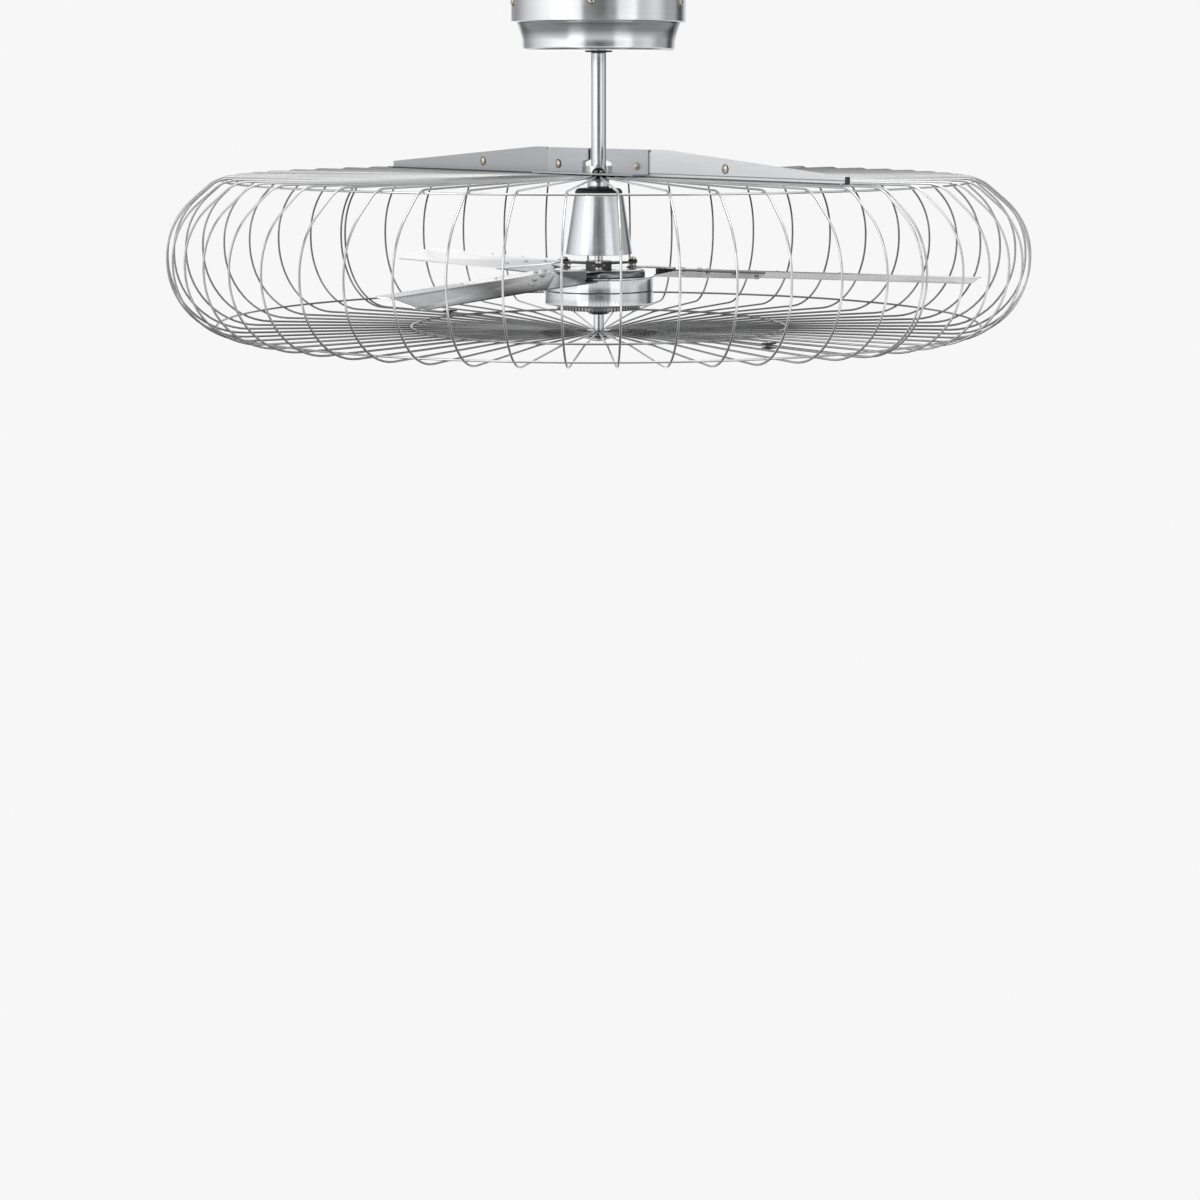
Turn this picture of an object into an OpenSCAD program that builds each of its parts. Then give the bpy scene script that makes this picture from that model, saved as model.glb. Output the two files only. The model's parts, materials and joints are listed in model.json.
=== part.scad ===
// Caged ceiling fan on a short downrod.
// The origin is on the rod's axis, at the ceiling face; +Z is up, so every drop is a negative height.

/* [Canopy] */
// Outside diameter of the upper band of the canopy
canopy_d = 246; // [230:1:280]
// Height of the upper band
band_h = 54; // [48:1:70]
// Sheet thickness of band, cup and bracket rim
canopy_wall = 1.5; // [1:0.1:2.5]
// How far the cup stands back from the band
cup_step = 7.5; // [5:0.5:12]
// How far the cup draws in from its top to its bottom edge
cup_taper = 11; // [6:0.5:16]
// How far the cup shows below the band
cup_drop = 37; // [30:1:50]
// Drop from the ceiling to the row of canopy screws
canopy_screw_drop = 28; // [22:1:34]
// Number of canopy screws
canopy_screws_n = 5; // [3:1:8]
// Turn of the first canopy screw from the front
canopy_screw_turn = -4.6; // [-20:0.1:20]
// Outside diameter of the black grommet at the rod
grommet_d = 39; // [36:0.5:48]

/* [Ceiling bracket] */
// Thickness of the ceiling plate
plate_t = 3; // [2:0.5:5]
// Distance between the two slots for the ceiling screws
slot_spacing = 88.9; // [80:0.1:100]
// Width of each slot
slot_w = 5.2; // [4.2:0.1:7]
// Length of each slot, end to end
slot_l = 12; // [9:0.5:16]
// Diameter of the wire entry in the ceiling plate
wire_entry_d = 30; // [20:1:36]
// Distance of the wire entry from the rod's axis, behind the hanger
wire_entry_y = 60; // [50:1:70]

/* [Hanger] */
// Diameter of the hanger ball
ball_d = 40; // [36:0.5:46]
// Drop from the ceiling to the centre of the ball
ball_drop = 45; // [40:0.5:52]
// Wall of the plastic liner between ball and saddle
liner_t = 2; // [1.5:0.1:3]
// Wall of the saddle's socket
socket_t = 4; // [3:0.5:6]
// Furthest tilt of the rod either way
tilt_max = 4; // [1:0.5:4]

/* [Downrod] */
// Outside diameter of the downrod
rod_d = 21.3; // [18:0.1:24]
// Wall of the downrod
rod_wall = 2.6; // [2:0.1:4]
// Drop from the ceiling to the middle of the cage's top wires
hub_drop = 268.7; // [240:0.1:600]
// Outside diameter of the upper collar
collar_d = 38.8; // [34:0.1:44]
// Height of the upper collar
collar_h = 13.2; // [12:0.1:18]
// Outside diameter of the lower collar
lower_collar_d = 30; // [28:0.5:36]
// Height of the lower collar
lower_collar_h = 13.8; // [10:0.1:20]

/* [Bars] */
// Direction of the split between the two half cages, from +X
split_az = -47.7; // [-60:0.1:-30]
// Half length of the bars on the split
bar_half_l = 475; // [420:1:500]
// Height of the bars beside the centre bracket
bar_h = 37.7; // [32:0.1:46]
// Height of the bars at their ends
bar_end_h = 9.5; // [6:0.1:16]
// Half length of the level part of the bars' top edge
bar_level_l = 137; // [120:1:180]
// Sheet thickness of the bars
bar_t = 1.5; // [1:0.1:2.5]
// Width of the bars' foot flange
bar_flange_w = 13; // [10:0.5:20]
// Half length of the centre bracket
bracket_half_l = 106; // [98:1:125]
// Height of the centre bracket
bracket_h = 35.7; // [30:0.1:40]
// Sheet thickness of the centre bracket
bracket_t = 2; // [1.5:0.1:3]
// Distance of the inner bar bolts from the axis
inner_bolt_s = 83; // [75:1:90]
// Distance of the outer bar bolts from the axis
outer_bolt_s = 256; // [200:1:300]

/* [Cage] */
// Diameter of the cage at its waist, over wire centres
cage_d = 1224; // [1160:2:1300]
// Diameter of the cage wires
wire_d = 3; // [2.5:0.1:3.4]
// Wires in each half cage
wires_n = 28; // [28:1:30]
// Radius of the first bend, beside the top ring
kink_r = 47; // [40:1:60]
// Slope of the shoulders below the top ring
shoulder_a = 40; // [34:0.5:46]
// Length of the straight shoulders
shoulder_l = 31; // [24:0.5:40]
// Radius of the upper side bend
upper_bend_r = 103; // [96:1:110]
// How far round the first bend the top ring is welded
top_ring_a = 12.7; // [8:0.1:24]
// How far round the lower side bend the outer bottom ring is welded
outer_ring_a = 22.5; // [16:0.5:30]
// Straight length at the waist
waist_l = 4; // [3:0.5:10]
// Radius of the lower side bend
lower_bend_r = 105; // [98:1:112]
// Angle between neighbouring wires of the front half
front_step = 6.7; // [6.5:0.01:6.8]
// Angle between neighbouring wires of the back half
back_step = 6.59; // [6.5:0.01:6.8]
// How much higher the bottom wires are at the inner ring than at the bend
ring_rise = 2.7; // [0:0.1:4]
// How much the bottom wires fall from the inner ring to the hub
hub_sag = 5.7; // [0:0.1:8]
// Offset of the doubled wires from the split
pair_offset = 4; // [3:0.1:5]
// Diameter of the ring wires
ring_d = 3; // [2.5:0.1:3.4]
// Radius of the inner ring under the blades
inner_ring_r = 270; // [220:1:320]
// Place of the bottom clamps along the split
clamp_s = 341; // [300:1:380]

/* [Cone cover] */
// Outside diameter of the cone cover at its top
cone_top_d = 71; // [64:0.5:80]
// Outside diameter of the cone cover at its bottom
cone_bottom_d = 96.8; // [88:0.2:110]
// Height of the cone cover
cone_h = 86.5; // [76:0.5:100]
// Sheet thickness of the cone cover
cone_wall = 1.5; // [1:0.1:2.5]
// Height of the rubber cap on the cone cover
cap_h = 8.5; // [7:0.5:12]
// Diameter of the rubber cap
cap_d = 67.8; // [60:0.2:70]
// Gap from the cone cover down to the rotor
cone_gap = 19; // [17:0.5:30]

/* [Motor] */
// Diameter of the fixed shaft
shaft_d = 12; // [10:0.5:13]
// Outside diameter of the ball bearings
bearing_d = 28; // [26:0.5:32]
// Width of the ball bearings
bearing_w = 8; // [7:0.5:9]
// Diameter of the rotor cover
cover_d = 134; // [120:1:140]
// Height of the rotor cover
cover_h = 9.5; // [9.5:0.5:14]
// Outside diameter of the drum
drum_d = 156.6; // [150:0.2:180]
// Height of the upper drum shell
drum_upper_h = 20; // [18:0.5:30]
// Height of the lower drum shell
drum_lower_h = 19.5; // [18:0.5:30]
// Wall of the drum shells
drum_wall = 3; // [2.5:0.1:4]
// Height of the black gasket between the shells
gasket_h = 1.5; // [1:0.1:3]
// Diameter of the finned vent ring
vent_d = 120; // [110:1:130]
// Height of the finned vent ring
vent_h = 7; // [6:0.5:10]
// Number of fins on the vent ring
fins_n = 72; // [48:1:96]
// Outside diameter of the bearing cap below the vent ring
bearing_cap_d = 38; // [34:0.5:44]
// Height of the bearing cap
bearing_cap_h = 7.5; // [6:0.5:12]
// Outside diameter of the stator
stator_d = 118.8; // [110:0.2:122]
// Height of the stator's iron
stator_h = 20; // [16:0.5:22]
// Teeth on the stator
teeth_n = 12; // [9:3:18]
// Diameter of the lower rod
lower_rod_d = 14.8; // [14.2:0.1:18]
// Length of the lower rod below the bottom wires
lower_rod_tail = 6.5; // [5.5:0.5:12]

/* [Spider and blades] */
// Diameter of the spider's hub
spider_hub_d = 37.4; // [30:0.2:44]
// Height of the spider's hub
spider_h = 11; // [9:0.5:14]
// Distance of the brass posts from the axis
post_r = 57; // [52:0.5:57]
// Turn of each post ahead of its blade
post_turn = 27.5; // [20:0.5:32]
// Direction of the first blade, from +X
blade_az = 2.5; // [-60:0.5:60]
// Distance from the axis to the blade tips
tip_r = 549; // [480:1:560]
// Width of the upper strip of each blade, measured flat
upper_strip_w = 22; // [16:0.5:28]
// Width of the lower strip of each blade, measured flat
lower_strip_w = 47; // [40:0.5:56]
// Distance of the fold ahead of the blade's line
fold_w = 10; // [8:0.5:16]
// Slope of the upper strip
upper_strip_a = 4; // [2:0.5:15]
// Slope of the lower strip
lower_strip_a = 14.4; // [10:0.1:22]
// Droop of each blade from root to tip, as the irons are bent
blade_droops = [1.8, 0.7, 0.75];
// How much steeper or flatter each blade is set than the slopes above
blade_twists = [0, -0.6, 0.65];
// Sheet thickness of blades and blade irons
blade_t = 2; // [1.5:0.1:2.5]
// Radius of the blades' rounded tip corner
tip_corner_r = 14; // [8:1:20]

/* [Hidden] */
$fn = 48;

// Clearances
seat = 0.05;     // between parts that are fixed to each other round a curve
slide = 0.08;    // between parts that turn in each other
apart = 0.3;     // between moving neighbours
eps = 1;         // how far a cut runs past a face

// Colours
aluminium = [0.78, 0.79, 0.80];
aluminium_dark = [0.62, 0.64, 0.66];
steel = [0.70, 0.70, 0.70];
bright_wire = [0.82, 0.82, 0.82];
brass = [0.72, 0.58, 0.36];
black = [0.08, 0.08, 0.08];
white = [0.9, 0.9, 0.88];
copper = [0.72, 0.42, 0.22];

// Fastener sizes
m3_r = 1.5;
m4_r = 2;
m5_r = 2.5;
head_ratio = 1.9;    // head radius over shank radius
head_h_ratio = 1.0;  // head height over shank radius

// Canopy and bracket
band_top = 1;
band_r = canopy_d / 2;
band_in_r = band_r - canopy_wall;
band_bottom = band_top + band_h;
lip_top = band_bottom - canopy_wall;
rim_r = band_in_r - seat;
rim_bottom = canopy_screw_drop + 12;
cup_top_r = band_r - cup_step;
cup_bottom_r = cup_top_r - cup_taper;
cup_bottom = band_bottom + cup_drop;
cup_round = 4;
cup_flange_top = lip_top - canopy_wall;
ball_r = ball_d / 2;
rod_r = rod_d / 2;
grommet_r = grommet_d / 2;
grommet_lip = 1.5;
grommet_bottom = cup_bottom + 4;
grommet_groove_r = grommet_r - 1.4;
tilt_all = acos(cos(tilt_max) * cos(tilt_max));
grommet_hole_r = rod_r / cos(tilt_all) + (grommet_bottom - ball_drop) * tan(tilt_all) + apart;

// Hanger
liner_in_r = ball_r + slide;
liner_out_r = liner_in_r + liner_t;
socket_in_r = liner_out_r + slide;
socket_out_r = socket_in_r + socket_t;
liner_low = 0.62 * ball_r;
liner_high = 0.36 * ball_r;
socket_low = 0.72 * ball_r;
socket_high = 0.26 * ball_r;
ball_cut = 0.8 * ball_r;
saddle_strap_t = 3;
saddle_strap_w = 30;
saddle_foot = 20;
saddle_screw_x = socket_out_r + 0.55 * saddle_foot;
saddle_screw_y = 9;
rim_gap = 43;
side_x = rim_r - rim_gap;
terminal_size = [18, 40, 14];
capacitor_size = [22, 50, 34];
pin_r = 3;
lead_r = 2;
lead_bend_a = 35;

// Hub stack, as drops from the ceiling
wire_r = wire_d / 2;
ring_r = ring_d / 2;
collar_bottom = hub_drop - wire_r;
collar_top = collar_bottom - collar_h;
hub_plate_t = 2;
hub_plate_top = hub_drop + wire_r;
hub_plate_bottom = hub_plate_top + hub_plate_t;
hub_plate_r = 52;
boss_r = 16.9;
lower_collar_bottom = hub_plate_bottom + lower_collar_h;
cap_bottom = lower_collar_bottom + cap_h;
cone_bottom = cap_bottom + cone_h;
coupling_top = cap_bottom + cone_wall;
coupling_r = 15;
coupling_flange_r = 20;
coupling_bottom = cone_bottom - 9;
rod_end = coupling_top + 0.5 * (coupling_bottom - coupling_top);
shaft_top = rod_end + 2;
rod_top = ball_drop - ball_cut - 1;

// Bars, in the frame of the split: x along it, y towards the back half
bar_foot_top = hub_drop - wire_r - bar_t;
bar_foot_bottom = hub_drop - wire_r;
split_gap = 0.05;
bar_start = 31;
bracket_slot = 17.6;
window_h = 16.5;
bolt_up = 12.7;
bolt_drop = bar_foot_top - bolt_up;
bracket_foot_w = 34;

// Cage profile; x is the distance from the axis
waist_r = cage_d / 2;
kink_x = waist_r - upper_bend_r * (1 - sin(shoulder_a)) - shoulder_l * cos(shoulder_a)
    - kink_r * sin(shoulder_a);
kink_drop = hub_drop + kink_r;
shoulder_x = kink_x + kink_r * sin(shoulder_a);
shoulder_drop = kink_drop - kink_r * cos(shoulder_a);
upper_bend_x = waist_r - upper_bend_r;
waist_top = shoulder_drop + shoulder_l * sin(shoulder_a) + upper_bend_r * cos(shoulder_a);
waist_bottom = waist_top + waist_l;
lower_bend_x = waist_r - lower_bend_r;
cage_bottom = waist_bottom + lower_bend_r;
bottom_hub = cage_bottom - ring_rise + hub_sag;
even_in_r = boss_r + 0.15;
odd_in_r = 2 * even_in_r;
end_in_r = 64;
weld = 0.05;
ring_inset = wire_r + ring_r + weld;
top_ring_r = kink_x + (kink_r - ring_inset) * sin(top_ring_a);
top_ring_drop = kink_drop - (kink_r - ring_inset) * cos(top_ring_a);
outer_ring_r = lower_bend_x + (lower_bend_r - ring_inset) * sin(outer_ring_a);
outer_ring_drop = waist_bottom + (lower_bend_r - ring_inset) * cos(outer_ring_a);
outer_run_a = atan(ring_rise / (lower_bend_x - inner_ring_r));
inner_run_a = atan(hub_sag / (inner_ring_r - even_in_r));
run_joint = 0.05;
inner_ring_drop = cage_bottom - ring_rise - ring_inset;

// Motor
shaft_r = shaft_d / 2;
bearing_r = bearing_d / 2;
race_t = 2.2;
rotor_top = cone_bottom + cone_gap;
cover_r = cover_d / 2;
cover_chamfer = 4.5;
drum_r = drum_d / 2;
drum_top = rotor_top + cover_h;
drum_lip = 2.3;
drum_edge = 3;
drum_floor_t = 2.5;
drum_top_t = 2.5;
gasket_top = drum_top + drum_upper_h;
drum_lower_top = gasket_top + gasket_h;
drum_bottom = drum_lower_top + drum_lower_h;
vent_bottom = drum_bottom + vent_h;
cap_low = vent_bottom + bearing_cap_h;
upper_bearing_top = rotor_top + 1;
lower_bearing_top = vent_bottom - bearing_w - 0.5;
seat_wall = 4;
rotor_in_r = stator_d / 2 + 0.6;
stator_mid = (drum_top + drum_top_t + drum_bottom) / 2;
stator_top = stator_mid - stator_h / 2;
stator_bottom = stator_mid + stator_h / 2;
coil_out = 4.5;
shaft_bottom = cap_low + 13;
lower_rod_r = lower_rod_d / 2;
lower_rod_top = cap_low + 1;
bottom_plate_top = bottom_hub + wire_r;
bottom_plate_t = 3;
bottom_plate_bottom = bottom_plate_top + bottom_plate_t;
bottom_disc_t = 3;
bottom_disc_gap = 4;
bottom_disc_r = 25.5;
lower_rod_bottom = bottom_plate_bottom + lower_rod_tail;

// Spider and blades
spider_top = rotor_top - spider_h;
spider_bottom = rotor_top - 0.1;
arm_top = spider_top + 2;
arm_t = 3;
arm_bottom = arm_top + arm_t;
tab_top = rotor_top - blade_t;
post_shank_r = 3;
post_head_r = 5;
post_top = arm_top - 6;
bush_r = 6.5;
bush_t = 2;
post_low = rotor_top + cover_h - 1;
fold_drop = rotor_top - 4.2;
upper_edge_w = -fold_w - upper_strip_w;
lower_edge_w = -fold_w + lower_strip_w;
root_s = 112;
root_cut_l = 110;
root_knee = 22;
tip_nick = 6;
sheet_spare = 8;
blade_screw_r = 2;
blade_nut_t = 2.5;
post_s = post_r * cos(post_turn);
post_w = post_r * sin(post_turn);
flange_r = drum_r + drum_lip;
riser_in = [flange_r + 30, 0.5 - fold_w];
riser_out = [flange_r - 5, lower_edge_w + 2];
riser_end = riser_out + 0.29 * (riser_in - riser_out);
iron_end = 240;

// Shared shapes
module below(drop) {
    translate([0, 0, -drop]) children();
}

module disc(r, top, bottom) {
    translate([0, 0, -bottom]) cylinder(r = r, h = bottom - top);
}

module tube(r_out, r_in, top, bottom) {
    difference() {
        disc(r_out, top, bottom);
        disc(r_in, top - eps, bottom + eps);
    }
}

module around(n, first = 0) {
    for (i = [0:n - 1]) rotate([0, 0, first + i * 360 / n]) children();
}

// A pan-head screw that stands on z = 0, its shank pointing down
module pan_screw(r, l) {
    translate([0, 0, -l]) cylinder(r = r, h = l);
    intersection() {
        cylinder(r = r * head_ratio, h = r * head_h_ratio);
        translate([0, 0, r * head_h_ratio - 2.6 * r]) sphere(r = 2.6 * r);
    }
}

module hex_nut(r, h) {
    difference() {
        cylinder(r = r, h = h, $fn = 6);
        translate([0, 0, -eps]) cylinder(r = r / 2, h = h + 2 * eps);
    }
}

// A round bar bent to an arc in the XZ plane, from angle a0 to a1 about (cx, -drop)
module bent_wire(cx, drop, r, a0, a1, d) {
    translate([cx, 0, -drop]) rotate([90, 0, 0]) rotate([0, 0, a0])
        rotate_extrude(angle = a1 - a0) translate([r, 0]) circle(d = d);
}

// Ceiling bracket and hanger
module slot_cut(x) {
    hull_l = slot_l - slot_w;
    for (s = [-1, 1]) translate([x + s * hull_l / 2, 0, -plate_t - eps])
        cylinder(d = slot_w, h = plate_t + 2 * eps);
    translate([x - hull_l / 2, -slot_w / 2, -plate_t - eps]) cube([hull_l, slot_w, plate_t + 2 * eps]);
}

module at_canopy_screws() {
    below(canopy_screw_drop) around(canopy_screws_n, -90 + canopy_screw_turn)
        translate([band_r, 0, 0]) rotate([0, 90, 0]) children();
}

module at_saddle_screws() {
    for (x = [-1, 1], y = [-1, 1]) translate([x * saddle_screw_x, y * saddle_screw_y, 0]) children();
}

module ceiling_bracket() {
    color(steel) difference() {
        union() {
            disc(rim_r, 0, plate_t);
            tube(rim_r, rim_r - canopy_wall, plate_t - 0.5, rim_bottom);
        }
        translate([0, wire_entry_y, 0]) disc(wire_entry_d / 2, -eps, plate_t + eps);
        for (x = [-1, 1]) slot_cut(x * slot_spacing / 2);
        at_canopy_screws() translate([0, 0, -8]) cylinder(r = m4_r + seat, h = 16);
        at_saddle_screws() translate([0, 0, -plate_t - eps]) cylinder(r = m4_r + seat, h = plate_t + 2 * eps);
    }
}

module hanger_saddle() {
    strap_x = socket_out_r - 1;
    color(steel) difference() {
        union() {
            disc(socket_out_r, ball_drop - socket_high, ball_drop + socket_low);
            for (s = [-1, 1]) {
                translate([s > 0 ? strap_x : -strap_x - saddle_strap_t, -saddle_strap_w / 2,
                    -ball_drop - socket_low])
                    cube([saddle_strap_t, saddle_strap_w, ball_drop + socket_low - plate_t]);
                translate([s > 0 ? strap_x : -strap_x - saddle_foot, -saddle_strap_w / 2,
                    -plate_t - saddle_strap_t])
                    cube([saddle_foot, saddle_strap_w, saddle_strap_t]);
            }
        }
        below(ball_drop) sphere(r = socket_in_r);
        at_saddle_screws() translate([0, 0, -plate_t - saddle_strap_t - eps])
            cylinder(r = m4_r + seat, h = saddle_strap_t + 2 * eps);
    }
}

module saddle_screws() {
    color(steel) at_saddle_screws() translate([0, 0, -plate_t - saddle_strap_t]) rotate([180, 0, 0])
        pan_screw(m4_r, saddle_strap_t + plate_t - 0.5);
}

module terminal_block() {
    pitch = terminal_size[1] / 4;
    color(white) difference() {
        translate([side_x - terminal_size[0] / 2, -terminal_size[1] / 2, -plate_t - terminal_size[2]])
            cube(terminal_size);
        for (i = [-1:1]) translate([side_x, i * pitch, -plate_t - terminal_size[2] - eps])
            cylinder(d = 5, h = 8);
    }
}

module run_capacitor() {
    color(aluminium_dark) translate([-side_x - capacitor_size[0] / 2, -capacitor_size[1] / 2,
        -plate_t - capacitor_size[2]]) cube(capacitor_size);
}

// Canopy
module canopy_band() {
    color(aluminium) difference() {
        union() {
            tube(band_r, band_in_r, band_top, band_bottom);
            tube(band_r, cup_top_r + 0.2, lip_top, band_bottom);
        }
        at_canopy_screws() translate([0, 0, -8]) cylinder(r = m4_r + seat, h = 16);
    }
}

function cup_side(inset) = let (step = (cup_top_r - cup_bottom_r) / 10) [
    [cup_top_r - inset, -band_bottom],
    [cup_top_r - 5 * step - inset, -band_bottom - 0.35 * cup_drop],
    [cup_bottom_r + 2 * step - inset, -band_bottom - 0.65 * cup_drop],
    [cup_bottom_r - inset, -cup_bottom + cup_round],
    [cup_bottom_r - 0.3 * (cup_round + inset), -cup_bottom + 0.3 * cup_round + inset],
    [cup_bottom_r - cup_round, -cup_bottom + inset],
    [grommet_groove_r + seat, -cup_bottom + inset]
];

function backwards(list) = [for (i = [len(list) - 1:-1:0]) list[i]];

module canopy_cup() {
    color(aluminium) rotate_extrude() polygon(concat(
        [
            [cup_top_r - canopy_wall, -cup_flange_top],
            [band_in_r - apart, -cup_flange_top],
            [band_in_r - apart, -lip_top],
            [cup_top_r, -lip_top]
        ],
        cup_side(0),
        backwards(cup_side(canopy_wall))
    ));
}

module canopy_screws() {
    color(brass) at_canopy_screws() {
        pan_screw(m4_r, 7);
        difference() {
            cylinder(r = 6, h = 0.8);
            translate([0, 0, -eps]) cylinder(r = m4_r, h = 3);
        }
    }
}

module canopy_grommet() {
    color(black) rotate_extrude() difference() {
        translate([grommet_hole_r, -grommet_bottom])
            square([grommet_r - grommet_hole_r, grommet_bottom - cup_bottom + canopy_wall + grommet_lip]);
        translate([grommet_groove_r, -cup_bottom]) square([grommet_r, canopy_wall + seat]);
    }
}

// Ball joint
module ball_liner() {
    color(white) below(ball_drop) difference() {
        intersection() {
            sphere(r = liner_out_r);
            translate([0, 0, -liner_low]) cylinder(r = 2 * liner_out_r, h = liner_low + liner_high);
        }
        sphere(r = liner_in_r);
    }
}

module at_ball_pin() {
    below(ball_drop) rotate([90, 0, 0]) children();
}

module hanger_ball() {
    color(steel) difference() {
        intersection() {
            below(ball_drop) sphere(r = ball_r);
            disc(2 * ball_r, ball_drop - ball_cut, ball_drop + ball_cut);
        }
        disc(rod_r + seat, ball_drop - 2 * ball_r, ball_drop + 2 * ball_r);
        at_ball_pin() cylinder(r = pin_r + seat, h = 3 * ball_r, center = true);
    }
}

module at_coupling_pin() {
    below((coupling_top + rod_end) / 2 + 2) rotate([90, 0, 0]) children();
}

module at_set_screws() {
    below((shaft_top + coupling_bottom) / 2) around(2, 90) translate([coupling_r, 0, 0])
        rotate([0, 90, 0]) children();
}

module rod_pins() {
    color(steel) {
        at_ball_pin() cylinder(r = pin_r, h = 1.8 * ball_r, center = true);
        at_coupling_pin() cylinder(r = pin_r, h = 2 * coupling_r + 4, center = true);
        at_set_screws() pan_screw(pin_r, coupling_r - shaft_r - seat);
    }
}

module downrod() {
    color(aluminium) difference() {
        tube(rod_r, rod_r - rod_wall, rod_top, rod_end);
        at_ball_pin() cylinder(r = pin_r + seat, h = 3 * ball_r, center = true);
        at_coupling_pin() cylinder(r = pin_r + seat, h = 4 * coupling_r, center = true);
    }
}

// The lead passes beside the pins in the rod, then bends twice into the shaft's bore
module supply_lead() {
    side = rod_r - rod_wall - lead_r - apart;
    step = side / tan(lead_bend_a);
    elbow_drop = shaft_top - 2 * lead_r - step;
    color(white) {
        translate([side, 0, 0]) disc(lead_r, rod_top - 6, elbow_drop);
        translate([side, 0, -elbow_drop]) sphere(r = 1.05 * lead_r);
        translate([side, 0, -elbow_drop]) rotate([0, 180 + lead_bend_a, 0])
            cylinder(r = lead_r, h = side / sin(lead_bend_a));
        below(elbow_drop + step) sphere(r = 1.05 * lead_r);
        disc(lead_r, elbow_drop + step, stator_top + 4);
    }
}

module collar_notch() {
    translate([-10, -collar_d, -collar_bottom - eps]) cube([20, collar_d - 13.5, eps + 0.5 * collar_h]);
    translate([0, -13.5, -collar_bottom + 0.5 * collar_h]) rotate([90, 0, 0])
        cylinder(r = 10, h = collar_d);
}

module collar_screw_place(x, z, front) {
    translate([x, -front, z]) rotate([90, 0, 0]) children();
}

module upper_collar() {
    color(aluminium) difference() {
        tube(collar_d / 2, rod_r + seat, collar_top, collar_bottom);
        intersection() {
            collar_notch();
            disc(collar_d, collar_top + 2.5, collar_bottom + eps);
        }
        for (x = [-4.2, 4.2]) collar_screw_place(x, -collar_bottom + 4.5, 8)
            cylinder(r = m3_r + seat, h = 10);
    }
}

module collar_screws() {
    color(brass) {
        for (x = [-4.2, 4.2]) intersection() {
            collar_screw_place(x, -collar_bottom + 4.5, 13.5) pan_screw(m3_r, 2.4);
            disc(collar_d, 0, 2 * hub_drop);
        }
        below((hub_plate_bottom + lower_collar_bottom) / 2)
            translate([0, -lower_collar_d / 2 - 0.1, 0]) rotate([90, 0, 0])
            pan_screw(m3_r, lower_collar_d / 2 - rod_r - 0.2);
    }
}

// Bars on the split
module on_split(side) {
    rotate([0, 0, split_az]) mirror([0, side < 0 ? 1 : 0, 0]) children();
}

module bar_holes() {
    for (s = [-outer_bolt_s, -inner_bolt_s, inner_bolt_s, outer_bolt_s])
        translate([s, 0, -bolt_drop]) rotate([90, 0, 0])
        cylinder(r = m5_r + seat, h = 40, center = true);
}

module bar_web_outline() {
    step = bracket_half_l + 4;
    inner_top = min(bracket_h, bar_h) - 2;
    polygon([
        [bar_start, 0],
        [bar_half_l, 0],
        [bar_half_l, bar_end_h],
        [bar_level_l, bar_h],
        [step, bar_h],
        [step, inner_top],
        [bar_start + 8, inner_top],
        [bar_start, inner_top - 8]
    ]);
}

module bars() {
    difference() {
        for (m = [0, 1]) mirror([m, 0, 0]) {
            translate([0, split_gap + bar_t, -bar_foot_bottom]) rotate([90, 0, 0])
                linear_extrude(bar_t) bar_web_outline();
            translate([bar_start, split_gap, -bar_foot_bottom])
                cube([bar_half_l - bar_start, bar_flange_w, bar_t]);
        }
        bar_holes();
    }
}

module front_bars() {
    color(aluminium) on_split(-1) bars();
}

module back_bars() {
    color(aluminium) on_split(1) bars();
}

module bracket_web_outline() {
    difference() {
        translate([-bracket_half_l, 0]) square([2 * bracket_half_l, bracket_h]);
        translate([-bracket_slot, -eps]) square([2 * bracket_slot, bracket_h + 2 * eps]);
        polygon([
            [-bar_start, bracket_t],
            [bar_start, bracket_t],
            [bar_start, window_h],
            [bracket_slot, window_h + 4],
            [-bracket_slot, window_h + 4],
            [-bar_start, window_h]
        ]);
    }
}

module centre_bracket() {
    web_y = split_gap + bar_t;
    difference() {
        union() {
            translate([0, web_y + bracket_t, -bar_foot_top]) rotate([90, 0, 0])
                linear_extrude(bracket_t) bracket_web_outline();
            translate([-bracket_half_l, web_y, -bar_foot_top])
                cube([2 * bracket_half_l, bracket_foot_w - web_y, bracket_t]);
        }
        disc(collar_d / 2 + apart, collar_top - 60, collar_bottom + 20);
        bar_holes();
    }
}

module front_centre_bracket() {
    color(aluminium_dark) on_split(-1) centre_bracket();
}

module back_centre_bracket() {
    color(aluminium_dark) on_split(1) centre_bracket();
}

module bar_bolt(s, grip, flip) {
    side = flip ? 1 : -1;
    half = grip / 2;
    translate([s, side * half, -bolt_drop]) rotate([side > 0 ? -90 : 90, 0, 0])
        pan_screw(m5_r, grip + 4.5);
    translate([s, -side * half, -bolt_drop]) rotate([side > 0 ? 90 : -90, 0, 0])
        hex_nut(2 * m5_r, 3.5);
}

module bar_bolts() {
    web_grip = 2 * (split_gap + bar_t);
    all_grip = web_grip + 2 * bracket_t;
    color(brass) rotate([0, 0, split_az]) {
        bar_bolt(-outer_bolt_s, web_grip, false);
        bar_bolt(outer_bolt_s, web_grip, false);
        bar_bolt(-inner_bolt_s, all_grip, false);
        bar_bolt(inner_bolt_s, all_grip, true);
    }
}

// Hub of the cage
module split_cut(gap) {
    rotate([0, 0, split_az]) translate([-cage_d, -gap / 2, -2 * hub_drop - 500])
        cube([2 * cage_d, gap, 2 * hub_drop + 500]);
}

module top_hub_plates() {
    color(aluminium_dark) difference() {
        union() {
            disc(hub_plate_r, hub_plate_top, hub_plate_bottom);
            disc(boss_r, collar_bottom, hub_plate_top + 0.5);
        }
        disc(rod_r + seat, 0, 2 * hub_drop);
        split_cut(apart);
    }
}

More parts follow.
